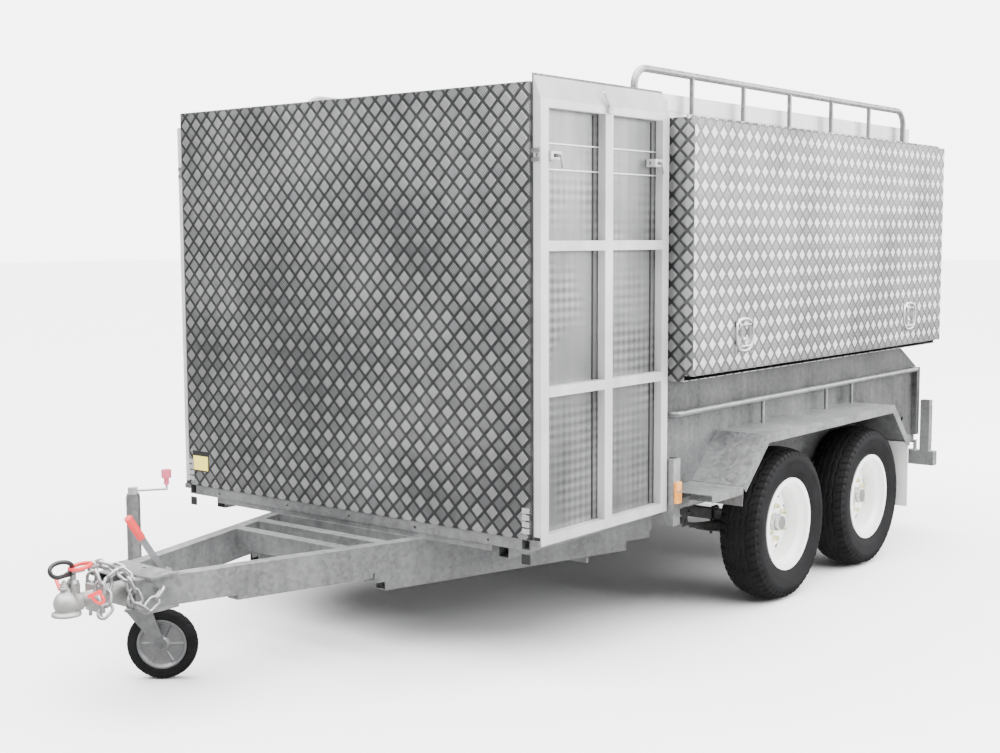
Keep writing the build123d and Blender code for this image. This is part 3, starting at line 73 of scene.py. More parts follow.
class TreadPlateSizes(bpy.types.PropertyGroup):
    """The raised pattern of the aluminium plate."""
    pitch: length("Pattern pitch", "Distance between like clusters of bars", 0.068)
    bar_height: length("Bar height", "Height of the raised bars", 0.0016)
    bars: bpy.props.IntProperty(name="Bars", description="Bars in each cluster", default=5, min=3, max=7)
    # Painted light: the plate colour is near black as painted shade and dark reflection between the bars, and the
    # bar colour is a painted highlight on the bar tops.
    plate: colour("Plate", "Colour of the plate between the bars", (0.075, 0.076, 0.078))
    bar: colour("Bars", "Colour of the rubbed bar tops", (0.88, 0.885, 0.89))
    # Painted light: the lids are painted lighter than the panel, standing in for the light falling on them from
    # above.
    lid_painted_light: bpy.props.FloatProperty(name="Lid brightness", description="How much brighter the lids are",
                                      default=0.22, min=0.0, max=1.0)


class ZincSizes(bpy.types.PropertyGroup):
    """The hot-dip coating of the frame."""
    grain: length("Spangle", "Width of a zinc crystal", 0.014)
    dark: colour("Dark zinc", "Darkest crystals", (0.20, 0.203, 0.206))
    light: colour("Light zinc", "Brightest crystals", (0.50, 0.505, 0.51))


class WheelSizes(bpy.types.PropertyGroup):
    """Road tyres, jockey tyre and painted rims."""
    lugs: bpy.props.IntProperty(name="Shoulder lugs", description="Blocks round each shoulder", default=56,
                                min=20)
    groove: length("Groove depth", "Depth of the tread grooves", 0.0065)
    rubber: colour("Rubber", "Tyre colour", (0.006, 0.006, 0.0065))
    rim: colour("Rim paint", "Rim colour", (0.86, 0.86, 0.85))


class FittingColours(bpy.types.PropertyGroup):
    """Small coloured fittings."""
    red: colour("Grip red", "Handbrake grip", (0.72, 0.03, 0.035))
    pink: colour("Knob", "Jockey crank knob", (0.62, 0.10, 0.17))
    amber: colour("Amber", "Side marker lens", (0.80, 0.27, 0.03))
    yellow: colour("Plate yellow", "Blank plate on the front panel", (0.78, 0.66, 0.10))


GROUPS = (("tread_plate", TreadPlateSizes), ("zinc", ZincSizes), ("wheels", WheelSizes),
          ("fittings", FittingColours))


# ---- shader arithmetic -----------------------------------------------------------------------
class Value:
    """A number on its way between shader nodes: arithmetic on it adds Math nodes."""

    def __init__(self, nodes, socket):
        self.nodes, self.socket = nodes, socket

    def math(self, operation, *others):
        inputs = dict(enumerate((self,) + others))
        return self.nodes.add("ShaderNodeMath", {"operation": operation}, inputs)[0]

    def __add__(self, other): return self.math("ADD", other)
    def __radd__(self, other): return self.math("ADD", other)
    def __sub__(self, other): return self.math("SUBTRACT", other)
    def __rsub__(self, other): return self.nodes.number(other).math("SUBTRACT", self)
    def __mul__(self, other): return self.math("MULTIPLY", other)
    def __rmul__(self, other): return self.math("MULTIPLY", other)
    def __truediv__(self, other): return self.math("DIVIDE", other)
    def __rtruediv__(self, other): return self.nodes.number(other).math("DIVIDE", self)
    def __abs__(self): return self.math("ABSOLUTE")
    def floor(self): return self.math("FLOOR")
    def root(self): return self.math("SQRT")
    def above(self, level): return self.math("GREATER_THAN", level)
    def limited(self): return self.math("MAXIMUM", 0.0).math("MINIMUM", 1.0)


class Nodes:
    """The node tree of one finish, with its surface shader and object coordinates."""

    def __init__(self, name):
        self.material = bpy.data.materials.new(name)
        self.material.use_nodes = True
        self.tree = self.material.node_tree
        self.shader = self.tree.nodes["Principled BSDF"]
        self.place = self.add("ShaderNodeTexCoord", {}, {})

    def add(self, kind, settings, values):
        """One node: its settings first, then a value or a link for each socket, by name or number."""
        node = self.tree.nodes.new(kind)
        for key, setting in settings.items():
            setattr(node, key, setting)
        for key, value in values.items():
            socket = node.inputs[key]
            if isinstance(value, Value):
                self.tree.links.new(value.socket, socket)
            else:
                socket.default_value = value
        return Outputs(self, node)

    def number(self, value):
        return self.add("ShaderNodeMath", {"operation": "ADD"}, {0: float(value), 1: 0.0})[0]

    def set(self, **constants):
        for name, value in constants.items():
            self.shader.inputs[name.replace("_", " ")].default_value = value

    def feed(self, name, value):
        self.tree.links.new(value.socket, self.shader.inputs[name])

    def bump(self, height, distance, strength=1.0):
        out = self.add("ShaderNodeBump", {}, {"Height": height, "Distance": distance, "Strength": strength})
        self.feed("Normal", out["Normal"])

    def mix(self, factor, dark, light):
        """Colour between two colours or colour links."""
        dark = dark if isinstance(dark, Value) else tuple(dark)[:3] + (1.0,)
        light = light if isinstance(light, Value) else tuple(light)[:3] + (1.0,)
        return self.add("ShaderNodeMix", {"data_type": "RGBA"}, {0: factor, 6: dark, 7: light})[2]

    def noise(self, scale, detail=3.0, roughness=0.5, where=None):
        return self.add("ShaderNodeTexNoise", {}, {"Vector": where or self.place["Object"], "Scale": scale,
                                                   "Detail": detail, "Roughness": roughness})[0]

    def streaks(self, stretch, scale, detail=2.0):
        """Noise pulled out along the axes given a small factor."""
        moved = self.add("ShaderNodeMapping", {}, {"Vector": self.place["Object"], "Scale": stretch})[0]
        return self.noise(scale, detail, where=moved)

    def axes(self, output="Object"):
        split = self.add("ShaderNodeSeparateXYZ", {}, {0: self.place[output]})
        return split[0], split[1], split[2]


class Outputs:
    """The outputs of a node, by name or number."""

    def __init__(self, nodes, node):
        self.nodes, self.node = nodes, node

    def __getitem__(self, key):
        return Value(self.nodes, self.node.outputs[key])


# ---- finishes --------------------------------------------------------------------------------
def zinc_finish(name, dark, light, grain, metallic=0.85):
    """Hot-dip zinc: crystals of slightly different grey, cloudy patches and runs down the metal."""
    n = Nodes(name)
    where = {"Vector": n.place["Object"], "Scale": 1.0 / grain}
    cells = n.add("ShaderNodeTexVoronoi", {"feature": "F1"}, where)
    crystal = n.add("ShaderNodeSeparateColor", {}, {0: cells["Color"]})[0]
    cloud = n.noise(5.0, 4.0)
    runs = n.streaks((1.0, 1.0, 0.12), 26.0)
    tone = (crystal * 0.30 + cloud * 0.95 + runs * 0.45 - 0.35).limited()
    n.feed("Base Color", n.mix(tone, dark, light))
    n.feed("Roughness", 0.36 + crystal * 0.10 + cloud * 0.14)
    n.set(Metallic=metallic)
    n.bump(n.noise(90.0, 2.0) * 0.7 + crystal * 0.3, 0.0006, 0.35)
    return n.material


def tread_finish(name, sizes, plain=0.0, wear=1.0):
    """Five-bar plate: a checker of square clusters set on edge, each of parallel rounded bars,
    turned a quarter from cluster to cluster. The flat coordinates follow the face's direction."""
    n = Nodes(name)
    x, y, z = n.axes()
    nx, _, nz = n.axes("Normal")
    side, top = abs(nx).above(0.6), abs(nz).above(0.6)
    across_plate = x + side * (y - x)
    up_plate = z + top * (y - z)
    u = (across_plate + up_plate) / sizes.pitch
    v = (across_plate - up_plate) / sizes.pitch
    cell_u, cell_v = u.floor(), v.floor()
    turn = (cell_u + cell_v).math("FLOORED_MODULO", 2.0)
    a, b = u - cell_u - 0.5, v - cell_v - 0.5
    across, along = a + turn * (b - a), b + turn * (a - b)
    bar_pitch = 0.76 / sizes.bars
    phase = across / bar_pitch + (0.5 if sizes.bars % 2 else 0.0)
    off = abs(phase - phase.floor() - 0.5) / 0.40
    bar = (1.0 - off * off).limited()
    end = ((0.40 - abs(along)) / 0.05).limited() * ((0.385 - abs(across)) / 0.02).limited()
    height = bar * end
    cloud = n.noise(2.2, 5.0, 0.6)
    scuff = n.noise(40.0, 3.0)
    # Painted reflection: clusters of one turn are painted lighter than those of the other turn, though both are
    # the same metal.
    painted_turn_reflection = 0.42 + turn * 0.58
    # Painted reflection: cloudy patches lighten and darken the plate the way reflections of the surroundings
    # would.
    painted_reflection_patches = ((cloud - 0.36) * 2.2).limited()
    lit = height * painted_turn_reflection * (0.45 + painted_reflection_patches * 0.75)
    # Painted light: the lids' copy of the plate is lightened, most over the clusters, as if lit from above.
    painted_lid_light = plain * (0.4 + end * 0.6)
    # Colour: painted highlight on the bars, painted reflection on one turn of clusters and in cloudy patches, real
    # scuffs, and the lids' painted light.
    tone = (lit + end * turn * 0.16 + painted_reflection_patches * 0.16 + scuff * 0.12 - 0.10 + painted_lid_light).limited()
    # The mix runs from the plate colour's painted dark reflection to the bar colour's painted highlight.
    n.feed("Base Color", n.mix(tone, sizes.plate, sizes.bar))
    n.feed("Roughness", 0.40 - height * 0.10 + scuff * 0.12)
    n.set(Metallic=0.88)
    n.bump(height * wear + scuff * 0.03, sizes.bar_height, 0.9)
    return n.material


def ramp_finish(zinc):
    """Ramp metal: smooth zinc on the frame, and on the skin's outer face the faint dimples of the tread
    plate's back, fading in patches."""
    n = Nodes("ramp zinc and dimpled skin")
    x, y, z = n.axes()
    skin = (0.9235 - abs(x)).above(0.0)
    u, v = (y + z) / 0.034, (y - z) / 0.034
    wave = (u * math.pi).math("SINE") * (v * math.pi).math("SINE")
    patch = ((n.noise(3.4, 2.0) - 0.44) * 6.0).limited()
    dimple = wave * patch * skin
    runs = n.streaks((1.0, 1.0, 0.06), 20.0)
    cloud = n.noise(4.0, 4.0)
    # Painted shade: the dimples are also painted into the colour, darker and lighter in rows like the light and
    # shade on their bumps.
    tone = (cloud * 0.8 + runs * 0.5 - 0.22 - dimple * 0.30).limited()
    plain = n.mix(tone, [c * 0.55 for c in zinc.dark], [c * 0.75 for c in zinc.light])
    frame_tone = n.mix(tone, (0.30, 0.30, 0.30), (0.66, 0.66, 0.65))
    n.feed("Base Color", n.mix(skin, frame_tone, plain))
    n.feed("Roughness", 0.34 + cloud * 0.16)
    n.feed("Metallic", 0.25 + skin * 0.60)
    n.bump(dimple + n.noise(80.0, 2.0) * 0.2, 0.0012, 0.5)
    return n.material


def rubber_finish(name, colour):
    """Moulded rubber: near black, a dusty bloom in patches and fine grain."""
    n = Nodes(name)
    bloom = n.noise(14.0, 4.0)
    n.feed("Base Color", n.mix((bloom * 1.1 - 0.25).limited(), colour, [c * 2.6 for c in colour]))
    n.feed("Roughness", 0.62 + bloom * 0.16)
    n.set(Metallic=0.0, Specular_IOR_Level=0.12)
    n.bump(n.noise(420.0, 2.0), 0.0003, 0.4)
    return n.material


def paint_finish(name, colour, rough=0.28, dirt=0.35, grain=60.0, metallic=0.0):
    """Sprayed paint or moulded plastic: faint orange peel and a little road film."""
    n = Nodes(name)
    film = ((n.noise(9.0, 5.0, 0.6) - 0.45) * 2.2).limited()
    n.feed("Base Color", n.mix(film * dirt, colour, [c * 0.72 for c in colour]))
    n.feed("Roughness", rough + film * 0.18)
    n.set(Metallic=metallic, Coat_Weight=0.2, Coat_Roughness=0.15)
    n.bump(n.noise(grain * 5.0, 2.0), 0.0004, 0.15)
    return n.material


def hub_finish(name):
    """Hubs: grey zinc with a gold tint on the ring of wheel nuts, told by distance from the wheel's axis."""
    n = Nodes(name)
    _, y, z = n.axes()
    lowest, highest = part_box("tyre_front_left")
    rear_low, rear_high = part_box("tyre_rear_left")
    front_y, rear_y = (lowest.y + highest.y) / 2, (rear_low.y + rear_high.y) / 2
    middle, half = (front_y + rear_y) / 2, (rear_y - front_y) / 2
    dy, dz = abs(y - middle) - half, z - (lowest.z + highest.z) / 2
    reach = (dy * dy + dz * dz).root()
    ring = reach.above(0.055) * (0.086 - reach).above(0.0)
    grain = n.noise(60.0, 3.0)
    plain = n.mix(grain, (0.42, 0.43, 0.43), (0.66, 0.66, 0.65))
    gold = n.mix(grain, (0.62, 0.60, 0.30), (0.80, 0.79, 0.50))
    n.feed("Base Color", n.mix(ring, plain, gold))
    n.feed("Roughness", 0.28 + grain * 0.2)
    n.set(Metallic=0.9)
    n.bump(grain, 0.0004, 0.3)
    return n.material


def cast_finish():
    """Zinc-coated casting: coarse orange-peel skin, dull grey with brighter rubbed patches."""
    n = Nodes("coated casting")
    coarse = n.noise(120.0, 4.0, 0.6)
    cloud = n.noise(16.0, 3.0)
    n.feed("Base Color", n.mix((cloud * 1.2 - 0.1).limited(), (0.26, 0.26, 0.255), (0.54, 0.54, 0.53)))
    n.feed("Roughness", 0.42 + cloud * 0.16)
    n.set(Metallic=0.7)
    n.bump(coarse, 0.0012, 0.4)
    return n.material


def lens_finish(name, colour):
    """Lamp lens: fine upright ribs over the coloured moulding."""
    n = Nodes(name)
    _, y, z = n.axes()
    ribs = (y * (2 * math.pi / 0.005)).math("SINE")
    cross = (z * (2 * math.pi / 0.009)).math("SINE")
    glow = n.noise(60.0, 2.0)
    bright = [min(1.0, c * 1.5 + 0.03) for c in colour]
    # Painted highlight: the lens colour is lightened in patches and along the rib crests, standing in for glints
    # in the moulding.
    n.feed("Base Color", n.mix((glow * 0.6 + ribs * 0.15 + 0.2).limited(), colour, bright))
    n.feed("Roughness", 0.16 + glow * 0.1)
    n.set(Metallic=0.0, Coat_Weight=0.5, Coat_Roughness=0.08)
    n.bump(ribs * 0.5 + cross * 0.5, 0.0006, 0.6)
    return n.material


def split_finish(name, metal, coated, mask_of, rough=0.4):
    """Two finishes on one piece, parted by where they are: bare metal and a coated part."""
    n = Nodes(name)
    grain = n.noise(70.0, 3.0)
    mask = mask_of(n)
    steel = n.mix(grain, metal, [min(1.0, c * 1.35) for c in metal])
    grip = n.mix(grain, [c * 0.85 for c in coated], coated)
    n.feed("Base Color", n.mix(mask, steel, grip))
    n.feed("Roughness", rough - mask * 0.05 + grain * 0.1)
    n.feed("Metallic", (1.0 - mask) * 0.8)
    n.bump(grain, 0.0004, 0.3)
    return n.material


# ---- mesh building ---------------------------------------------------------------------------
def squared(wave, power):
    """A sine or cosine pushed outward, which turns a circle's path into a square with rounded corners."""
    return np.sign(wave) * np.abs(wave) ** power


def add_mesh(name, points, faces, material, body, slot, smooth=True):
    """A new piece at the origin from arrays of points and faces, riding on a body."""
    mesh = bpy.data.meshes.new(name)
    rows = np.asarray(points, float).reshape(-1, 3).tolist()
    mesh.from_pydata(rows, [], [list(map(int, f)) for f in faces])
    mesh.polygons.foreach_set("use_smooth", np.full(len(mesh.polygons), smooth))
    mesh.update()
    piece = bpy.data.objects.new(name, mesh)
    bpy.context.scene.collection.objects.link(piece)
    mesh.materials.append(material)
    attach(piece, body)
    return piece


def grid_faces(rows, columns, close_rows, close_columns, start=0):
    """Quads between neighbouring points of a grid numbered row by row, wrapped where a direction closes."""
    r = np.arange(rows if close_rows else rows - 1)[:, None]
    c = np.arange(columns if close_columns else columns - 1)[None, :]
    r2, c2 = (r + 1) % rows, (c + 1) % columns
    quads = np.stack([r * columns + c, r * columns + c2, r2 * columns + c2, r2 * columns + c], -1)
    return quads.reshape(-1, 4) + start


def boxes(corner_pairs):
    """Plain blocks, eight points and six outward faces each, from (lowest, highest) corners."""
    low = np.array([p[0] for p in corner_pairs], float)[:, None, :]
    high = np.array([p[1] for p in corner_pairs], float)[:, None, :]
    pick = np.array([(i & 1, i >> 1 & 1, i >> 2 & 1) for i in range(8)], float)[None]
    points = low + (high - low) * pick
    quads = np.array([(0, 2, 3, 1), (4, 5, 7, 6), (0, 1, 5, 4), (2, 6, 7, 3), (0, 4, 6, 2), (1, 3, 7, 5)])
    faces = (quads[None] + 8 * np.arange(len(corner_pairs))[:, None, None]).reshape(-1, 4)
    return points.reshape(-1, 3), faces


def lathe(profile, centre, axis, around=64):
    """Profile points (distance along the axis, radius) carried round the axis."""
    profile = np.asarray(profile, float)
    axis = np.asarray(axis, float) / np.linalg.norm(axis)
    helper = np.array((0.0, 0.0, 1.0)) if abs(axis[2]) < 0.9 else np.array((1.0, 0.0, 0.0))
    e1 = np.cross(helper, axis)
    e1 /= np.linalg.norm(e1)
    e2 = np.cross(axis, e1)
    t = np.linspace(0, 2 * math.pi, around, endpoint=False)
    ring = np.cos(t)[None, :, None] * e1 + np.sin(t)[None, :, None] * e2
    points = np.asarray(centre) + profile[:, None, :1] * axis + profile[:, None, 1:] * ring
    faces = grid_faces(len(profile), around, False, True)
    return points.reshape(-1, 3), faces[:, ::-1]


def tube_along(path, radius, around=12, closed=False):
    """A round section carried along a path, its frame turned as little as possible from point to point."""
    path = np.asarray(path, float)
    if closed:
        tangent = np.roll(path, -1, 0) - np.roll(path, 1, 0)
    else:
        tangent = np.gradient(path, axis=0)
    tangent /= np.linalg.norm(tangent, axis=1)[:, None]
    normal = np.cross(tangent[0], (0.31, 0.52, 0.79))
    normals = []
    for t in tangent:
        normal = normal - t * np.dot(normal, t)
        normal = normal / np.linalg.norm(normal)
        normals.append(normal)
    normals = np.array(normals)
    other = np.cross(tangent, normals)
    angle = np.linspace(0, 2 * math.pi, around, endpoint=False)
    radius = np.broadcast_to(np.asarray(radius, float), (len(path),))[:, None, None]
    rings = np.cos(angle)[None, :, None] * normals[:, None] + np.sin(angle)[None, :, None] * other[:, None]
    points = path[:, None] + radius * rings
    faces = grid_faces(len(path), around, closed, True)[:, ::-1]
    if not closed:
        first, last = np.arange(around), np.arange(around) + (len(path) - 1) * around
        return points.reshape(-1, 3), [list(f) for f in faces] + [list(first), list(last[::-1])]
    return points.reshape(-1, 3), faces


def join(parts):
    """Several (points, faces) as one."""
    points, faces, start = [], [], 0
    for p, f in parts:
        points.append(np.asarray(p, float).reshape(-1, 3))
        faces += [[int(i) + start for i in face] for face in f]
        start += len(points[-1])
    return np.concatenate(points), faces


def hexagon_heads(centres, axis, across, height):
    """Bolt heads: a six-sided prism with a chamfered crown at each centre."""
    parts = []
    for centre in centres:
        profile = [(0.0, 0.0001), (0.0, across / 1.732), (height * 0.8, across / 1.732), (height, across / 2.2),
                   (height, 0.0001)]
        parts.append(lathe(profile, centre, axis, 6))
    return join(parts)


def recalculated(piece):
    """Normals of a finished closed piece turned outwards."""
    import bmesh
    shape = bmesh.new()
    shape.from_mesh(piece.data)
    bmesh.ops.remove_doubles(shape, verts=shape.verts, dist=0.00002)
    bmesh.ops.recalc_face_normals(shape, faces=shape.faces)
    shape.to_mesh(piece.data)
    shape.free()
    return piece


# ---- tyres -----------------------------------------------------------------------------------
def tyre_surface(sizes, lowest, highest, outward):
    """A road tyre: the cross-section runs bead, bulged sidewall, shoulder, crown and back down the other
    side; its radius is lowered by four grooves round the crown and by slots across both shoulders that
    come and go with the angle, and the sidewall carries two thin raised rings."""
    centre = (lowest + highest) / 2
    half, outer = (highest.x - lowest.x) / 2, (highest.z - lowest.z) / 2
    lug_steps = 8
    turns = sizes.lugs * lug_steps
    t = np.linspace(0.0, 1.0, 33)
    bead_x, lip = half * 0.79, 0.1995
    shoulder_x, shoulder_r = half * 0.86, outer - 0.015
    bulge, blend_from = 0.58, 0.62
    side_x = bead_x + (half - bead_x) * np.sin(t * math.pi * bulge) ** 0.8
    side_r = lip + (shoulder_r - lip) * t
    rounded = half - (half - shoulder_x) * ((t - blend_from) / (1 - blend_from)) ** 2
    side_x = np.where(t > blend_from, rounded, np.minimum(side_x, half))
    crown_x = np.linspace(shoulder_x, -shoulder_x, 61)[1:-1]
    crown_r = outer - 0.013 * (crown_x / shoulder_x) ** 2 - 0.004 * (np.abs(crown_x) / shoulder_x) ** 10
    inside_x = np.linspace(-bead_x + 0.008, bead_x - 0.008, 9)
    inside_r = lip - 0.004 + 0.09 * (1 - (inside_x / bead_x) ** 2) ** 0.5
    px = np.concatenate([side_x, crown_x, -side_x[::-1], inside_x])
    pr = np.concatenate([side_r, crown_r, side_r[::-1], inside_r])
    angle = np.linspace(0, 2 * math.pi, turns, endpoint=False)
    x, r = px[:, None] + 0 * angle[None], pr[:, None] + 0 * angle[None]
    tread = np.clip((r - (shoulder_r - 0.022)) / 0.012, 0, 1)
    groove = np.zeros_like(x)
    for at in (-0.041, -0.0145, 0.0145, 0.041):
        wobble = at + 0.0022 * np.sign(np.sin(angle * sizes.lugs / 2 + at * 90))[None]
        groove = np.maximum(groove, np.clip(1.6 - np.abs(x - wobble) / 0.0028, 0, 1))
    step = angle * sizes.lugs / (2 * math.pi)
    slot = (((step[None] + np.sign(x) * 0.25 + np.abs(x) * 9.0) % 1.0) < 0.30) * (np.abs(x) > 0.049)
    sipe = (((step[None] * 2 + x * 26.0) % 1.0) < 0.20) * (np.abs(x) <= 0.046) * 0.35
    cut = np.maximum(np.maximum(groove, slot), sipe) * tread
    normal_x = np.clip((np.abs(x) - shoulder_x) / (half - shoulder_x), 0, 1) * np.sign(x)
    r = r - cut * sizes.groove
    x = x - cut * normal_x * sizes.groove * 0.7
    ring = np.exp(-((pr - 0.232) / 0.002) ** 2) + np.exp(-((pr - 0.262) / 0.0016) ** 2)
    place = np.arange(len(px))
    on_side = (place < len(side_x)) | ((place >= len(side_x) + len(crown_x))
                                       & (place < 2 * len(side_x) + len(crown_x)))
    x = x + (ring * on_side * 0.0011)[:, None] * np.sign(x)
    x = np.clip(x, -half, half) * outward
    points = np.stack([centre.x + x, centre.y + r * np.cos(angle), centre.z + r * np.sin(angle)], -1)
    faces = grid_faces(len(px), turns, True, True)
    return points.reshape(-1, 3), faces


class TRAILER_OT_tyres(bpy.types.Operator):
    """Road tyres with grooved tread, slotted shoulders and ringed sidewalls, for the plain carcasses"""
    bl_idname = "trailer.tyres"
    bl_label = "Road tyres"

    def execute(self, context):
        sizes = context.scene.trailer_wheels
        rubber = rubber_finish("tyre rubber", sizes.rubber)
        for axle in AXLES:
            for side, sign in SIDES:
                node = f"tyre_{axle}_{side}"
                points, faces = tyre_surface(sizes, *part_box(node), sign)
                piece = add_mesh(f"treaded_tyre_{axle}_{side}", points, faces, rubber, f"wheel_{axle}_{side}",
                                 "tyre_rubber")
                recalculated(piece)
                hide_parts(node)
        return {"FINISHED"}


# ---- jockey wheel ----------------------------------------------------------------------------
def jockey_frame():
    """Centre and axle direction of the jockey wheel from its joint."""
    joint = next(j for j in frame["joints"] if j["name"] == "jockey_wheel_spin")
    return np.array(joint["pos_m"], float), np.array(joint["axis"], float)


def jockey_tyre(centre, axis):
    """Cleated tyre: the section is a rounded block on the rim, its crown cut by slanting slots that mirror
    about the middle and its radius otherwise constant."""
    half, low, high, cleats = 0.0218, 0.089, 0.1245, 26
    turns = cleats * 8
    px = np.concatenate([np.linspace(-half + 0.003, -half, 5), np.linspace(-half, half, 17)[1:-1],
                         np.linspace(half, half - 0.003, 5)])
    pr = np.concatenate([np.linspace(low, high - 0.008, 5),
                         high - 0.008 * (np.abs(np.linspace(-half, half, 17)[1:-1]) / half) ** 3,
                         np.linspace(high - 0.008, low, 5)])
    angle = np.linspace(0, 2 * math.pi, turns, endpoint=False)
    x, r = px[:, None] + 0 * angle[None], pr[:, None] + 0 * angle[None]
    step = angle * cleats / (2 * math.pi)
    slot = (((step[None] + np.abs(x) * 30.0) % 1.0) < 0.34) * (np.abs(x) > 0.005) * (r > high - 0.014)
    r = r - slot * 0.0045
    return revolved(px, x, r, angle, centre, axis)


def revolved(px, x, r, angle, centre, axis):
    """Points at distance x along the axis and r from it, at each angle, with quads between them."""
    e1 = np.array((0.0, 0.0, 1.0))
    e2 = np.cross(axis, e1)
    points = centre + x[..., None] * axis + r[..., None] * (np.cos(angle)[None, :, None] * e1
                                                           + np.sin(angle)[None, :, None] * e2)
    return points.reshape(-1, 3), grid_faces(len(px), len(angle), True, True)


def jockey_rim(centre, axis):
    """Dished rim: a closed profile of bead seats, sloping web and hub boss, with six raised ribs on the web
    made by pushing both of its faces apart where the angle is near a rib."""
    outline = [(-0.016, 0.0885), (0.016, 0.0885), (0.0175, 0.0865), (0.015, 0.0795), (0.006, 0.076),
               (0.0035, 0.072), (0.0035, 0.055), (0.0035, 0.040), (0.0035, 0.029), (0.008, 0.026),
               (0.020, 0.024), (0.020, 0.0085), (-0.020, 0.0085), (-0.020, 0.024), (-0.008, 0.026),
               (-0.0035, 0.029), (-0.0035, 0.040), (-0.0035, 0.055), (-0.0035, 0.072), (-0.006, 0.076),
               (-0.015, 0.0795), (-0.0175, 0.0865)]
    profile, ribs = np.array(outline), 6
    angle = np.linspace(0, 2 * math.pi, 144, endpoint=False)
    x = profile[:, :1] + 0 * angle[None]
    r = profile[:, 1:] + 0 * angle[None]
    rib = np.clip(1.4 - np.abs(((angle * ribs / (2 * math.pi)) % 1.0) - 0.5) / 0.05, 0, 1)
    web = ((profile[:, 1] > 0.028) & (profile[:, 1] < 0.073))[:, None]
    x = x + np.sign(x) * web * rib[None] * 0.007
    return revolved(profile[:, 0], x, r, angle, centre, axis)


class TRAILER_OT_jockey(bpy.types.Operator):
    """Jockey wheel with a cleated tyre and a ribbed rim, in place of the plain one"""
    bl_idname = "trailer.jockey"
    bl_label = "Jockey wheel"

    def execute(self, context):
        centre, axis = jockey_frame()
        rubber = rubber_finish("jockey rubber", context.scene.trailer_wheels.rubber)
        zinc = context.scene.trailer_zinc
        tyre = recalculated(add_mesh("cleated_jockey_tyre", *jockey_tyre(centre, axis), rubber, "jockey_wheel",
                                     "jockey_rubber"))
        bright = zinc_finish("bright pressed zinc", (0.30, 0.30, 0.31), zinc.light, 0.006)
        rim = recalculated(add_mesh("ribbed_jockey_rim", *jockey_rim(centre, axis), bright, "jockey_wheel",
                                    "galvanised_steel"))
        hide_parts("jockey_wheel")
        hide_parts("jockey_wheel")
        return {"FINISHED"}


# ---- coupling --------------------------------------------------------------------------------
def coupling_points():
    """Ball centre, from the ball socket mount."""
    mount = next(m for m in frame["record"]["mounts"] if m["name"] == "ball_socket")
    return np.array(mount["pos_m"], float)


class TRAILER_OT_coupling(bpy.types.Operator):
    """Cast ball housing with its spring cap, neck and tower, in place of the plain head"""
    bl_idname = "trailer.coupling"
    bl_label = "Coupling head"

    def execute(self, context):
        ball = coupling_points()
        cast = cast_finish()
        t = np.linspace(0, 1, 12)
        cup = [(-0.0385, 0.0262), (-0.0385, 0.0468), (-0.031, 0.0470), (-0.028, 0.0430)]
        cup += [(0.0402 * math.sin(a), 0.0402 * math.cos(a)) for a in np.linspace(-0.62, 1.15, 14)]
        cup += [(0.0415, 0.0160), (0.0475, 0.0150), (0.0480, 0.0001)]
        inside = 0.0258
        socket = [(inside, 0.0001)]
        socket += [(inside * math.cos(a), inside * math.sin(a)) for a in t[1:] * math.pi / 2]
        parts = [lathe(cup, ball, (0, 0, 1), 72), lathe(socket + [(-0.0385, 0.0262)], ball, (0, 0, 1), 72)]
        coil = [(0.046, 0.0155)]
        for turn in range(4):
            r = 0.0150 - turn * 0.0027
            z = 0.048 + turn * 0.0068
            coil += [(z, r), (z + 0.0022, r + 0.0014), (z + 0.0046, r), (z + 0.0058, r - 0.0014)]
        coil += [(0.0765, 0.0030), (0.0785, 0.0001)]
        parts.append(lathe(coil, ball + (0, -0.006, 0), (0, 0, 1), 40))
        y = ball[1] + np.linspace(0.015, 0.048, 10)
        widths = np.interp(y, [ball[1] + 0.015, ball[1] + 0.03, ball[1] + 0.048], [0.036, 0.032, 0.030])
        angle = np.linspace(0, 2 * math.pi, 32, endpoint=False)
        flat = squared(np.cos(angle), 0.6), squared(np.sin(angle), 0.6)
        neck = np.stack([widths[:, None] * flat[0][None], y[:, None] + 0 * angle[None],
                         ball[2] + widths[:, None] * 0.95 * flat[1][None]], -1)
        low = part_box("coupling_head")[1].y
        rows, around = neck.shape[:2]
        last_ring = list(range((rows - 1) * around, rows * around))
        rings = [list(f) for f in grid_faces(rows, around, False, True)]
        parts.append((neck.reshape(-1, 3), rings + [last_ring]))
        parts.append(lathe([(0.0, 0.0001), (0.0, 0.0249), (low - y[-1] - 0.002, 0.0249), (low - y[-1], 0.022),
                            (low - y[-1], 0.0001)], (0, y[-1], ball[2]), (0, 1, 0), 40))
        ear_y = ball[1] + 0.046 - 0.018
        for x in (-0.0125, 0.0125):
            ear = np.array([(-0.014, -0.024), (-0.016, 0.020), (-0.010, 0.036), (0.0, 0.0395),
                            (0.010, 0.036), (0.015, 0.020), (0.014, -0.024)])
            front = np.stack([np.full(7, x - 0.0034), ear_y + ear[:, 0], ball[2] + 0.036 + ear[:, 1]], -1)
            back = front + (0.0068, 0, 0)
            sides = [[i, (i + 1) % 7, (i + 1) % 7 + 7, i + 7] for i in range(7)]
            parts.append((np.concatenate([front, back]), sides + [list(range(7)), list(range(13, 6, -1))]))
        parts.append(lathe([(-0.019, 0.0001), (-0.019, 0.0049), (0.019, 0.0049), (0.019, 0.0001)],
                           (0, ear_y, ball[2] + 0.060), (1, 0, 0), 20))
        points, faces = join(parts)
        piece = recalculated(add_mesh("cast_coupling_head", points, faces, cast, "coupling_head",
                                      "cast_steel"))
        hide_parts("coupling_head")
        return {"FINISHED"}


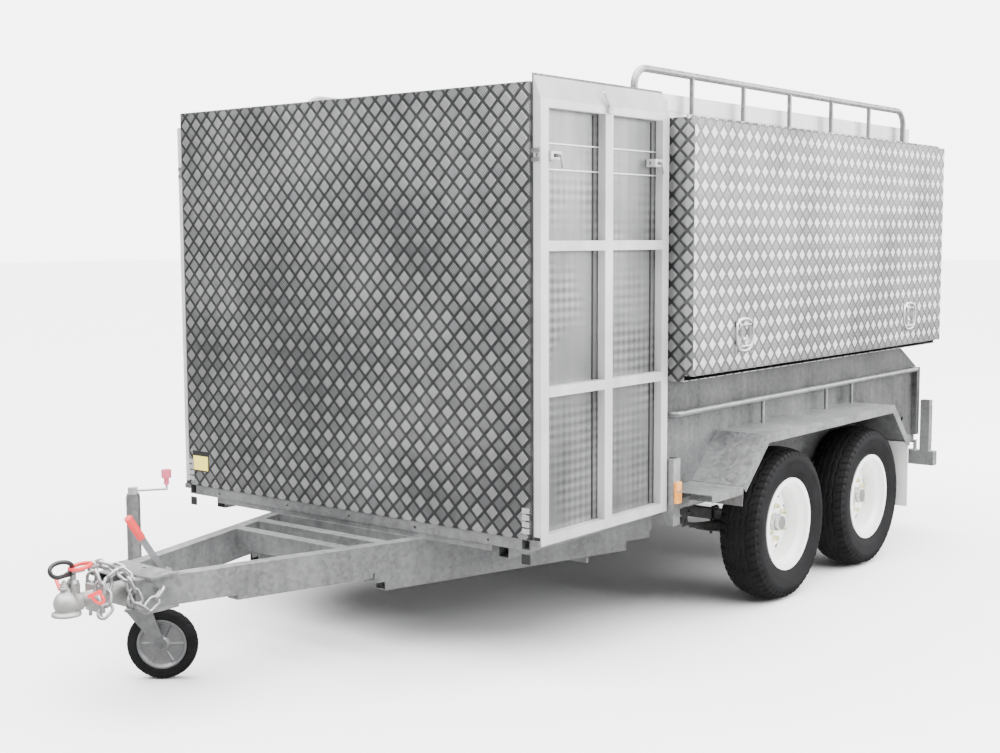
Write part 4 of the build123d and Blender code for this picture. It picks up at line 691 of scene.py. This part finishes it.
class TRAILER_OT_handles(bpy.types.Operator):
    """The latch's black coated loop handle, and the red ring beside it"""
    bl_idname = "trailer.handles"
    bl_label = "Latch handle"

    def execute(self, context):
        low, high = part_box("coupling_latch")
        colours = context.scene.trailer_fittings
        black = paint_finish("black coated handle", (0.014, 0.014, 0.015), 0.42, 0.2)
        red = paint_finish("red painted ring", colours.red, 0.35, 0.2)
        top, back = high.z, high.y
        t = np.linspace(0, 1, 40)
        angle = -0.35 * math.pi + t * 1.75 * math.pi
        loop = np.stack([0.004 * np.sin(angle * 2), low.y - 0.022 + 0.040 * np.cos(angle) - 0.012,
                         top + 0.008 + 0.024 * np.sin(angle)], -1)
        loop = np.concatenate([loop, [[0.0, low.y + 0.012, top - 0.012]]])
        points, faces = tube_along(loop, 0.0072, 14)
        recalculated(add_mesh("latch_loop_handle", points, faces, black, "coupling_latch", "pipe_black"))
        angle = 2 * math.pi * t[:-1]
        ring = np.stack([0.026 * np.cos(angle), (low.y + back) / 2 + 0.012 + 0.036 * np.sin(angle),
                         top + 0.006 + 0.004 * np.sin(angle)], -1)
        points, faces = tube_along(ring, 0.0066, 14, closed=True)
        recalculated(add_mesh("red_latch_ring", points, faces, red, "coupling_latch", "shackle_red"))
        return {"FINISHED"}


# ---- lid locks -------------------------------------------------------------------------------
class TRAILER_OT_locks(bpy.types.Operator):
    """Bright pressed rims round the lid locks, the dark recess inside each and its keyhole boss"""
    bl_idname = "trailer.locks"
    bl_label = "Lid locks"

    def execute(self, context):
        polished = zinc_finish("polished lock rim", (0.62, 0.62, 0.62), (0.90, 0.90, 0.90), 0.02, 1.0)
        dark = paint_finish("dark lock recess", (0.035, 0.035, 0.037), 0.4, 0.3)
        steps, rim_half, corner = 64, (0.066, 0.064), 0.72
        t = np.linspace(0, 2 * math.pi, steps, endpoint=False)
        barrel = ((0.0, 0.0), (0.0, 0.011), (0.005, 0.011), (0.007, 0.009), (0.007, 0.0))
        for side, sign in SIDES:
            lid = f"lid_{side}"
            for end in AXLES:
                low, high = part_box(f"lock_handle_{side}_{end}")
                face = min(abs(low.x), abs(high.x)) - 0.003
                y, z = (low.y + high.y) / 2, (low.z + high.z) / 2 + 0.003
                ring = np.stack([np.full(steps, sign * (face + 0.001)),
                                 y + rim_half[0] * squared(np.cos(t), corner),
                                 z + rim_half[1] * squared(np.sin(t), corner)], -1)
                points, faces = tube_along(ring, 0.0075, 12, closed=True)
                recalculated(add_mesh(f"lock_rim_{side}_{end}", points, faces, polished, lid, "chrome_lock"))
                middle = [[sign * (face - 0.0025), y, z]]
                inside = np.concatenate([ring + (-0.0035 * sign, 0, 0), middle])
                faces = [(i, (i + 1) % steps, steps) for i in range(steps)]
                recalculated(add_mesh(f"lock_recess_{side}_{end}", inside, faces, dark, lid, "pipe_black"))
                points, faces = lathe(barrel, (sign * (face - 0.002), y, z - 0.020), (sign, 0, 0), 32)
                recalculated(add_mesh(f"lock_barrel_{side}_{end}", points, faces, polished, lid,
                                      "chrome_lock"))
        return {"FINISHED"}


# ---- chains ----------------------------------------------------------------------------------
def link_mesh(centre, along, across, length=0.064, width=0.042, wire=0.0058):
    """One link: a stadium path, two straights and two half circles, carrying a round section."""
    along = np.asarray(along, float) / np.linalg.norm(along)
    across = np.asarray(across, float) - along * np.dot(across, along)
    across /= np.linalg.norm(across)
    r, half = width / 2 - wire, length / 2 - width / 2
    t = np.linspace(-math.pi / 2, math.pi / 2, 8)
    right = np.stack([half + r * np.cos(t), r * np.sin(t)], -1)
    left = np.stack([-half - r * np.cos(t), -r * np.sin(t)], -1)
    flat = np.concatenate([right, left])
    path = np.asarray(centre) + flat[:, :1] * along + flat[:, 1:] * across
    return tube_along(path, wire, 8, closed=True)


def chain_links(route, pitch=0.0410):
    """Links at an even pitch along a smoothed route, each turned a quarter from the last."""
    route = np.asarray(route, float)
    for _ in range(3):
        a, b = route[:-1] * 0.75 + route[1:] * 0.25, route[:-1] * 0.25 + route[1:] * 0.75
        route = np.concatenate([route[:1], np.stack([a, b], 1).reshape(-1, 3), route[-1:]])
    steps = np.concatenate([[0], np.cumsum(np.linalg.norm(np.diff(route, axis=0), axis=1))])
    count = int(steps[-1] // pitch)
    at = (np.arange(count) + 0.5) * pitch
    where = np.stack([np.interp(at, steps, route[:, i]) for i in range(3)], -1)
    ahead = np.stack([np.interp(at + pitch / 2, steps, route[:, i]) for i in range(3)], -1)
    behind = np.stack([np.interp(at - pitch / 2, steps, route[:, i]) for i in range(3)], -1)
    parts = []
    for index in range(count):
        along = ahead[index] - behind[index]
        along = along / np.linalg.norm(along)
        flat = np.cross(along, (0.2, 0.1, 1.0))
        flat /= np.linalg.norm(flat)
        tilt = math.pi / 4 + index * math.pi / 2
        across = math.cos(tilt) * flat + math.sin(tilt) * np.cross(along, flat)
        parts.append(link_mesh(where[index], along, across))
    return parts


class TRAILER_OT_chains(bpy.types.Operator):
    """Two safety chains bunched over the drawbar's nose, in place of the plain links"""
    bl_idname = "trailer.chains"
    bl_label = "Safety chains"

    def execute(self, context):
        ball = coupling_points()
        bright = zinc_finish("chain zinc", (0.22, 0.22, 0.22), (0.78, 0.78, 0.78), 0.004)
        y, z = ball[1], ball[2]
        left = [(0.148, y + 0.262, z + 0.020), (0.150, y + 0.225, z - 0.020), (0.142, y + 0.185, z - 0.045),
                (0.122, y + 0.175, z + 0.010), (0.098, y + 0.165, z + 0.072), (0.066, y + 0.150, z + 0.092),
                (0.058, y + 0.115, z + 0.060), (0.078, y + 0.095, z - 0.010), (0.082, y + 0.085, z - 0.045),
                (0.066, y + 0.075, z + 0.000), (0.056, y + 0.090, z + 0.070), (0.034, y + 0.085, z + 0.098)]
        right = [(-0.148, y + 0.262, z + 0.020), (-0.150, y + 0.225, z - 0.025), (-0.135, y + 0.180, z - 0.045),
                 (-0.110, y + 0.170, z + 0.015), (-0.085, y + 0.160, z + 0.080), (-0.040, y + 0.150, z + 0.098),
                 (0.000, y + 0.165, z + 0.090), (0.030, y + 0.190, z + 0.080), (0.060, y + 0.200, z + 0.060),
                 (0.092, y + 0.195, z + 0.000), (0.098, y + 0.150, z - 0.050)]
        points, faces = join(chain_links(left) + chain_links(right))
        piece = recalculated(add_mesh("bunched_chains", points, faces, bright, "chassis", "chain_steel"))
        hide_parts("safety_chains")
        return {"FINISHED"}


# ---- fittings --------------------------------------------------------------------------------
class TRAILER_OT_trim(bpy.types.Operator):
    """Corner strips, the blank yellow plate, tube end caps, bolts, edge strips and black strips of painted shadow
    on the ramp skins
    """
    bl_idname = "trailer.trim"
    bl_label = "Trim and bolts"

    def execute(self, context):
        colours = context.scene.trailer_fittings
        panel_low, panel_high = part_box("front_panel")
        front = panel_low.y
        half = panel_high.x
        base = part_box("floor_frame")[0].z
        black = paint_finish("black end caps", (0.015, 0.015, 0.016), 0.5, 0.2)
        yellow = paint_finish("blank yellow plate", colours.yellow, 0.4, 0.25)
        bolt = zinc_finish("bolt zinc", (0.45, 0.45, 0.45), (0.75, 0.75, 0.74), 0.003)
        bright = zinc_finish("bright edge", (0.70, 0.70, 0.71), (0.90, 0.90, 0.90), 0.01)
        label_x, label_z = -half + 0.078, panel_low.z + 0.105
        frame_plate = [((label_x - 0.052, front - 0.0012, label_z - 0.043),
                        (label_x + 0.052, front - 0.0002, label_z + 0.043))]
        face_plate = [((label_x - 0.047, front - 0.0020, label_z - 0.038),
                       (label_x + 0.047, front - 0.0010, label_z + 0.022))]
        add_mesh("plate_border", *boxes(frame_plate), black, "chassis", "pipe_black", False)
        add_mesh("plate_face", *boxes(face_plate), yellow, "chassis", "flap_plastic", False)
        strips = []
        for _, sign in SIDES:
            x0, x1 = sorted((sign * (half - 0.034), sign * (half - 0.003)))
            for row in range(4):
                z0 = panel_low.z + 0.020 + row * 0.024
                strips.append(((x0, front - 0.0022, z0), (x1, front - 0.0002, z0 + 0.018)))
        add_mesh("corner_strips", *boxes(strips), bright, "chassis", "galvanised_steel", False)
        caps = []
        for _, sign in SIDES:
            x0, x1 = sorted((sign * (half - 0.0385), sign * (half - 0.0035)))
            caps.append(((x0, front + 0.0015, base + 0.0025), (x1, front + 0.006, base + 0.0365)))
        add_mesh("base_rail_caps", *boxes(caps), black, "chassis", "pipe_black", False)
        for side, sign in SIDES:
            low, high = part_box(f"ramp_{side}")
            x0, x1 = sorted((0.9245 * sign, 0.9515 * sign))
            cap = [((x0, low.y - 0.0006, low.z + 0.004), (x1, low.y + 0.0004, low.z + 0.031))]
            add_mesh(f"ramp_end_cap_{side}", *boxes(cap), black, f"ramp_{side}", "pipe_black", False)
            # Painted shadow: thin black strips on the ramp skin stand in for the shadow gaps beside the stiles,
            # where the skin sits back behind the frame.
            shadow_gap_x0, shadow_gap_x1 = sorted((0.9200 * sign, 0.9225 * sign))
            # The list holds the painted shadow strips first and the bright band edges after them.
            shadow_gaps_and_bands = []
            for shadow_gap_y in (low.y + 0.350, high.y - 0.075):
                shadow_gaps_and_bands.append(((shadow_gap_x0, shadow_gap_y - 0.0035, low.z + 0.040),
                              (shadow_gap_x1, shadow_gap_y + 0.0035, high.z - 0.120)))
            band_x0, band_x1 = sorted((0.9200 * sign, 0.9245 * sign))
            for z in (1.770, 1.858):
                shadow_gaps_and_bands.append(((band_x0, low.y + 0.045, z - 0.002), (band_x1, high.y - 0.045, z + 0.002)))
            add_mesh(f"ramp_painted_shadow_gaps_{side}", *boxes(shadow_gaps_and_bands[:2]), black, f"ramp_{side}", "pipe_black", False)
            add_mesh(f"ramp_band_edges_{side}", *boxes(shadow_gaps_and_bands[2:]), bright, f"ramp_{side}", "galvanised_steel",
                     False)
            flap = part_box("mudflaps")[1]
            heads = [(sign * (flap.x - 0.165 + i * 0.060), flap.y, flap.z - 0.030) for i in (0, 1)]
            add_mesh(f"flap_bolts_{side}", *hexagon_heads(heads, (0, -1, 0), 0.013, 0.008), bolt, "chassis",
                     "hub_steel", False)
        return {"FINISHED"}


# ---- finishes of the carried-over parts -------------------------------------------------------
def coat(material, *nodes):
    """Gives CAD parts a finish in place of their plain one."""
    for name in nodes:
        slots = frame["nodes"][name].data.materials
        slots.clear()
        slots.append(material)


class TRAILER_OT_finishes(bpy.types.Operator):
    """Zinc, tread plate, paint and plastic on every carried-over part"""
    bl_idname = "trailer.finishes"
    bl_label = "Finishes"

    def execute(self, context):
        scene = context.scene
        zinc, plate = scene.trailer_zinc, scene.trailer_tread_plate
        wheels, colours = scene.trailer_wheels, scene.trailer_fittings
        frame_zinc = zinc_finish("hot dip zinc", zinc.dark, zinc.light, zinc.grain)
        dull = zinc_finish("dull zinc", [c * 0.3 for c in zinc.dark], [c * 0.5 for c in zinc.light],
                           zinc.grain)
        coat(tread_finish("five bar plate", plate), "front_panel", "toolbox_left", "toolbox_right")
        # The lids get a lighter copy of the plate: painted light from above.
        coat(tread_finish("five bar lids", plate, plate.lid_painted_light), "lid_left", "lid_right")
        coat(ramp_finish(zinc), "ramp_left", "ramp_right")
        coat(frame_zinc, "drawbar_arm_left", "drawbar_arm_right", "drawbar_crossmembers", "drawbar_stiffeners",
             "floor_frame", "rear_frame", "front_box_frame", "mudguard_left", "mudguard_right",
             "rope_rails", "roof_rack", "tailgate", "jockey_outer_tube", "jockey_inner_tube", "jockey_fork")
        coat(dull, "axles", "leaf_springs", "spring_hangers", "equalisers", "tray")
        coat(zinc_finish("bright roof zinc", (0.45, 0.45, 0.45), (0.78, 0.78, 0.77), zinc.grain),
             "roof_panel")
        coat(paint_finish("rim paint", wheels.rim, 0.22, 0.12),
             *[f"rim_{a}_{s}" for a in AXLES for s, _ in SIDES])
        coat(hub_finish("hub and nuts"), *[f"hub_{a}_{s}" for a in AXLES for s, _ in SIDES])
        coat(cast_finish(), "coupling_body", "coupling_latch")
        coat(paint_finish("red shackles", colours.red, 0.35, 0.3), "shackles")
        coat(lens_finish("amber lens", colours.amber), "side_marker_lamps")
        coat(lens_finish("red lens", (0.55, 0.02, 0.02)), "tail_lamps")
        coat(paint_finish("pale flap", (0.62, 0.62, 0.61), 0.55, 0.6), "mudflaps")
        chrome = zinc_finish("polished lock", (0.60, 0.60, 0.60), (0.80, 0.80, 0.80), 0.01, 1.0)
        coat(chrome, *[f"lock_handle_{s}_{a}" for a in AXLES for s, _ in SIDES])
        coat(zinc_finish("bolt steel", (0.22, 0.22, 0.22), (0.60, 0.60, 0.60), 0.006),
             *[f"ramp_bolt_{s}_{a}" for a in AXLES for s, _ in SIDES])
        coat(paint_finish("brake pipe", (0.05, 0.05, 0.05), 0.5, 0.2), "brake_pipe")
        low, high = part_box("handbrake_lever")
        pivot = next(j for j in frame["joints"] if j["name"] == "handbrake_lever_pull")["pos_m"]
        angle = math.atan2(high.z - pivot[2], pivot[1] - low.y)

        def grip(n):
            _, y, z = n.axes()
            reach = (pivot[1] - y) * math.cos(angle) + (z - pivot[2]) * math.sin(angle)
            return reach.above(0.160)

        coat(split_finish("lever and grip", (0.30, 0.30, 0.31), tuple(colours.red), grip), "handbrake_lever")
        knob_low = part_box("jockey_crank")[1].z - 0.053
        coat(split_finish("crank and knob", (0.55, 0.55, 0.55), tuple(colours.pink),
                          lambda n: n.axes()[2].above(knob_low)), "jockey_crank")
        return {"FINISHED"}


# ---- stage -----------------------------------------------------------------------------------
def soft_light(name, position, target, size, power, colour=(1.0, 1.0, 1.0)):
    """A rectangular soft light at a place, turned to its target, hidden from the camera."""
    lamp = bpy.data.lights.new(name, "AREA")
    lamp.shape, lamp.size, lamp.size_y, lamp.energy, lamp.color = "RECTANGLE", size[0], size[1], power, colour
    holder = bpy.data.objects.new(name, lamp)
    bpy.context.scene.collection.objects.link(holder)
    holder.location = position
    holder.rotation_euler = (Vector(target) - Vector(position)).to_track_quat("-Z", "Y").to_euler()
    holder.visible_camera = False
    return holder


class TRAILER_OT_stage(bpy.types.Operator):
    """Camera, pale floor, soft lights and pale surroundings"""
    bl_idname = "trailer.stage"
    bl_label = "Stage"

    def execute(self, context):
        scene = context.scene
        lens = bpy.data.cameras.new("view")
        lens.lens, lens.sensor_width, lens.clip_end = 50.08, 36.0, 400.0
        camera = bpy.data.objects.new("view", lens)
        scene.collection.objects.link(camera)
        turn = (Matrix.Rotation(math.radians(38.87), 4, "Z") @ Matrix.Rotation(math.radians(90 - 5.63), 4, "X")
                @ Matrix.Rotation(math.radians(-0.24), 4, "Z"))
        camera.matrix_world = Matrix.Translation((3.796, -4.794, 1.533)) @ turn
        scene.camera = camera
        size = 90.0
        ground = bpy.data.meshes.new("pale_floor")
        corners = [(-size, -size, 0), (size, -size, 0), (size, size, 0), (-size, size, 0)]
        ground.from_pydata(corners, [], [(0, 1, 2, 3)])
        floor = bpy.data.objects.new("pale_floor", ground)
        scene.collection.objects.link(floor)
        n = Nodes("pale floor")
        n.feed("Base Color", n.mix(n.noise(0.6, 3.0), (0.95, 0.95, 0.95), (0.97, 0.97, 0.97)))
        n.set(Roughness=0.9, Metallic=0.0)
        ground.materials.append(n.material)
        world = bpy.data.worlds.new("pale surroundings")
        world.use_nodes = True
        tree = world.node_tree
        bright, soft = tree.nodes["Background"], tree.nodes.new("ShaderNodeBackground")
        for node, grey, strength in ((bright, 1.0, 6.4), (soft, 0.40, 1.0)):
            node.inputs["Color"].default_value = (grey, grey, grey, 1.0)
            node.inputs["Strength"].default_value = strength
        seen, both = tree.nodes.new("ShaderNodeLightPath"), tree.nodes.new("ShaderNodeMixShader")
        tree.links.new(seen.outputs["Is Camera Ray"], both.inputs["Fac"])
        tree.links.new(soft.outputs["Background"], both.inputs[1])
        tree.links.new(bright.outputs["Background"], both.inputs[2])
        tree.links.new(both.outputs["Shader"], tree.nodes["World Output"].inputs["Surface"])
        scene.world = world
        floor.visible_glossy = False
        sky = bpy.data.lights.new("ceiling", "SUN")
        sky.energy, sky.angle = 17.0, math.radians(100)
        ceiling = bpy.data.objects.new("ceiling", sky)
        scene.collection.objects.link(ceiling)
        soft_light("key", (8.5, 3.0, 4.5), (0.9, 0.3, 1.2), (6.0, 4.0), 700.0)
        soft_light("kerb_side", (7.5, 9.5, 3.6), (1.0, 0.6, 1.2), (8.0, 5.0), 900.0)
        return {"FINISHED"}


class TRAILER_PT_panel(bpy.types.Panel):
    """Steps that dress the trailer, in order"""
    bl_idname = "TRAILER_PT_panel"
    bl_label = "Trailer"
    bl_space_type = "VIEW_3D"
    bl_region_type = "UI"
    bl_category = "Trailer"

    def draw(self, context):
        for step in STEPS:
            self.layout.operator(step.bl_idname)
        for name, group in GROUPS:
            box = self.layout.box()
            for key in group.__annotations__:
                box.prop(getattr(context.scene, "trailer_" + name), key)


STEPS = (TRAILER_OT_stage, TRAILER_OT_finishes, TRAILER_OT_tyres, TRAILER_OT_jockey, TRAILER_OT_coupling,
         TRAILER_OT_handles, TRAILER_OT_locks, TRAILER_OT_chains, TRAILER_OT_trim)


def register():
    for name, group in GROUPS:
        bpy.utils.register_class(group)
        setattr(bpy.types.Scene, "trailer_" + name, bpy.props.PointerProperty(type=group))
    for step in STEPS:
        bpy.utils.register_class(step)
    bpy.utils.register_class(TRAILER_PT_panel)


def unregister():
    bpy.utils.unregister_class(TRAILER_PT_panel)
    for step in reversed(STEPS):
        bpy.utils.unregister_class(step)
    for name, group in reversed(GROUPS):
        delattr(bpy.types.Scene, "trailer_" + name)
        bpy.utils.unregister_class(group)


def main():
    register()
    for step in STEPS:
        group, name = step.bl_idname.split(".")
        getattr(getattr(bpy.ops, group), name)()


if __name__ == "__main__":
    main()
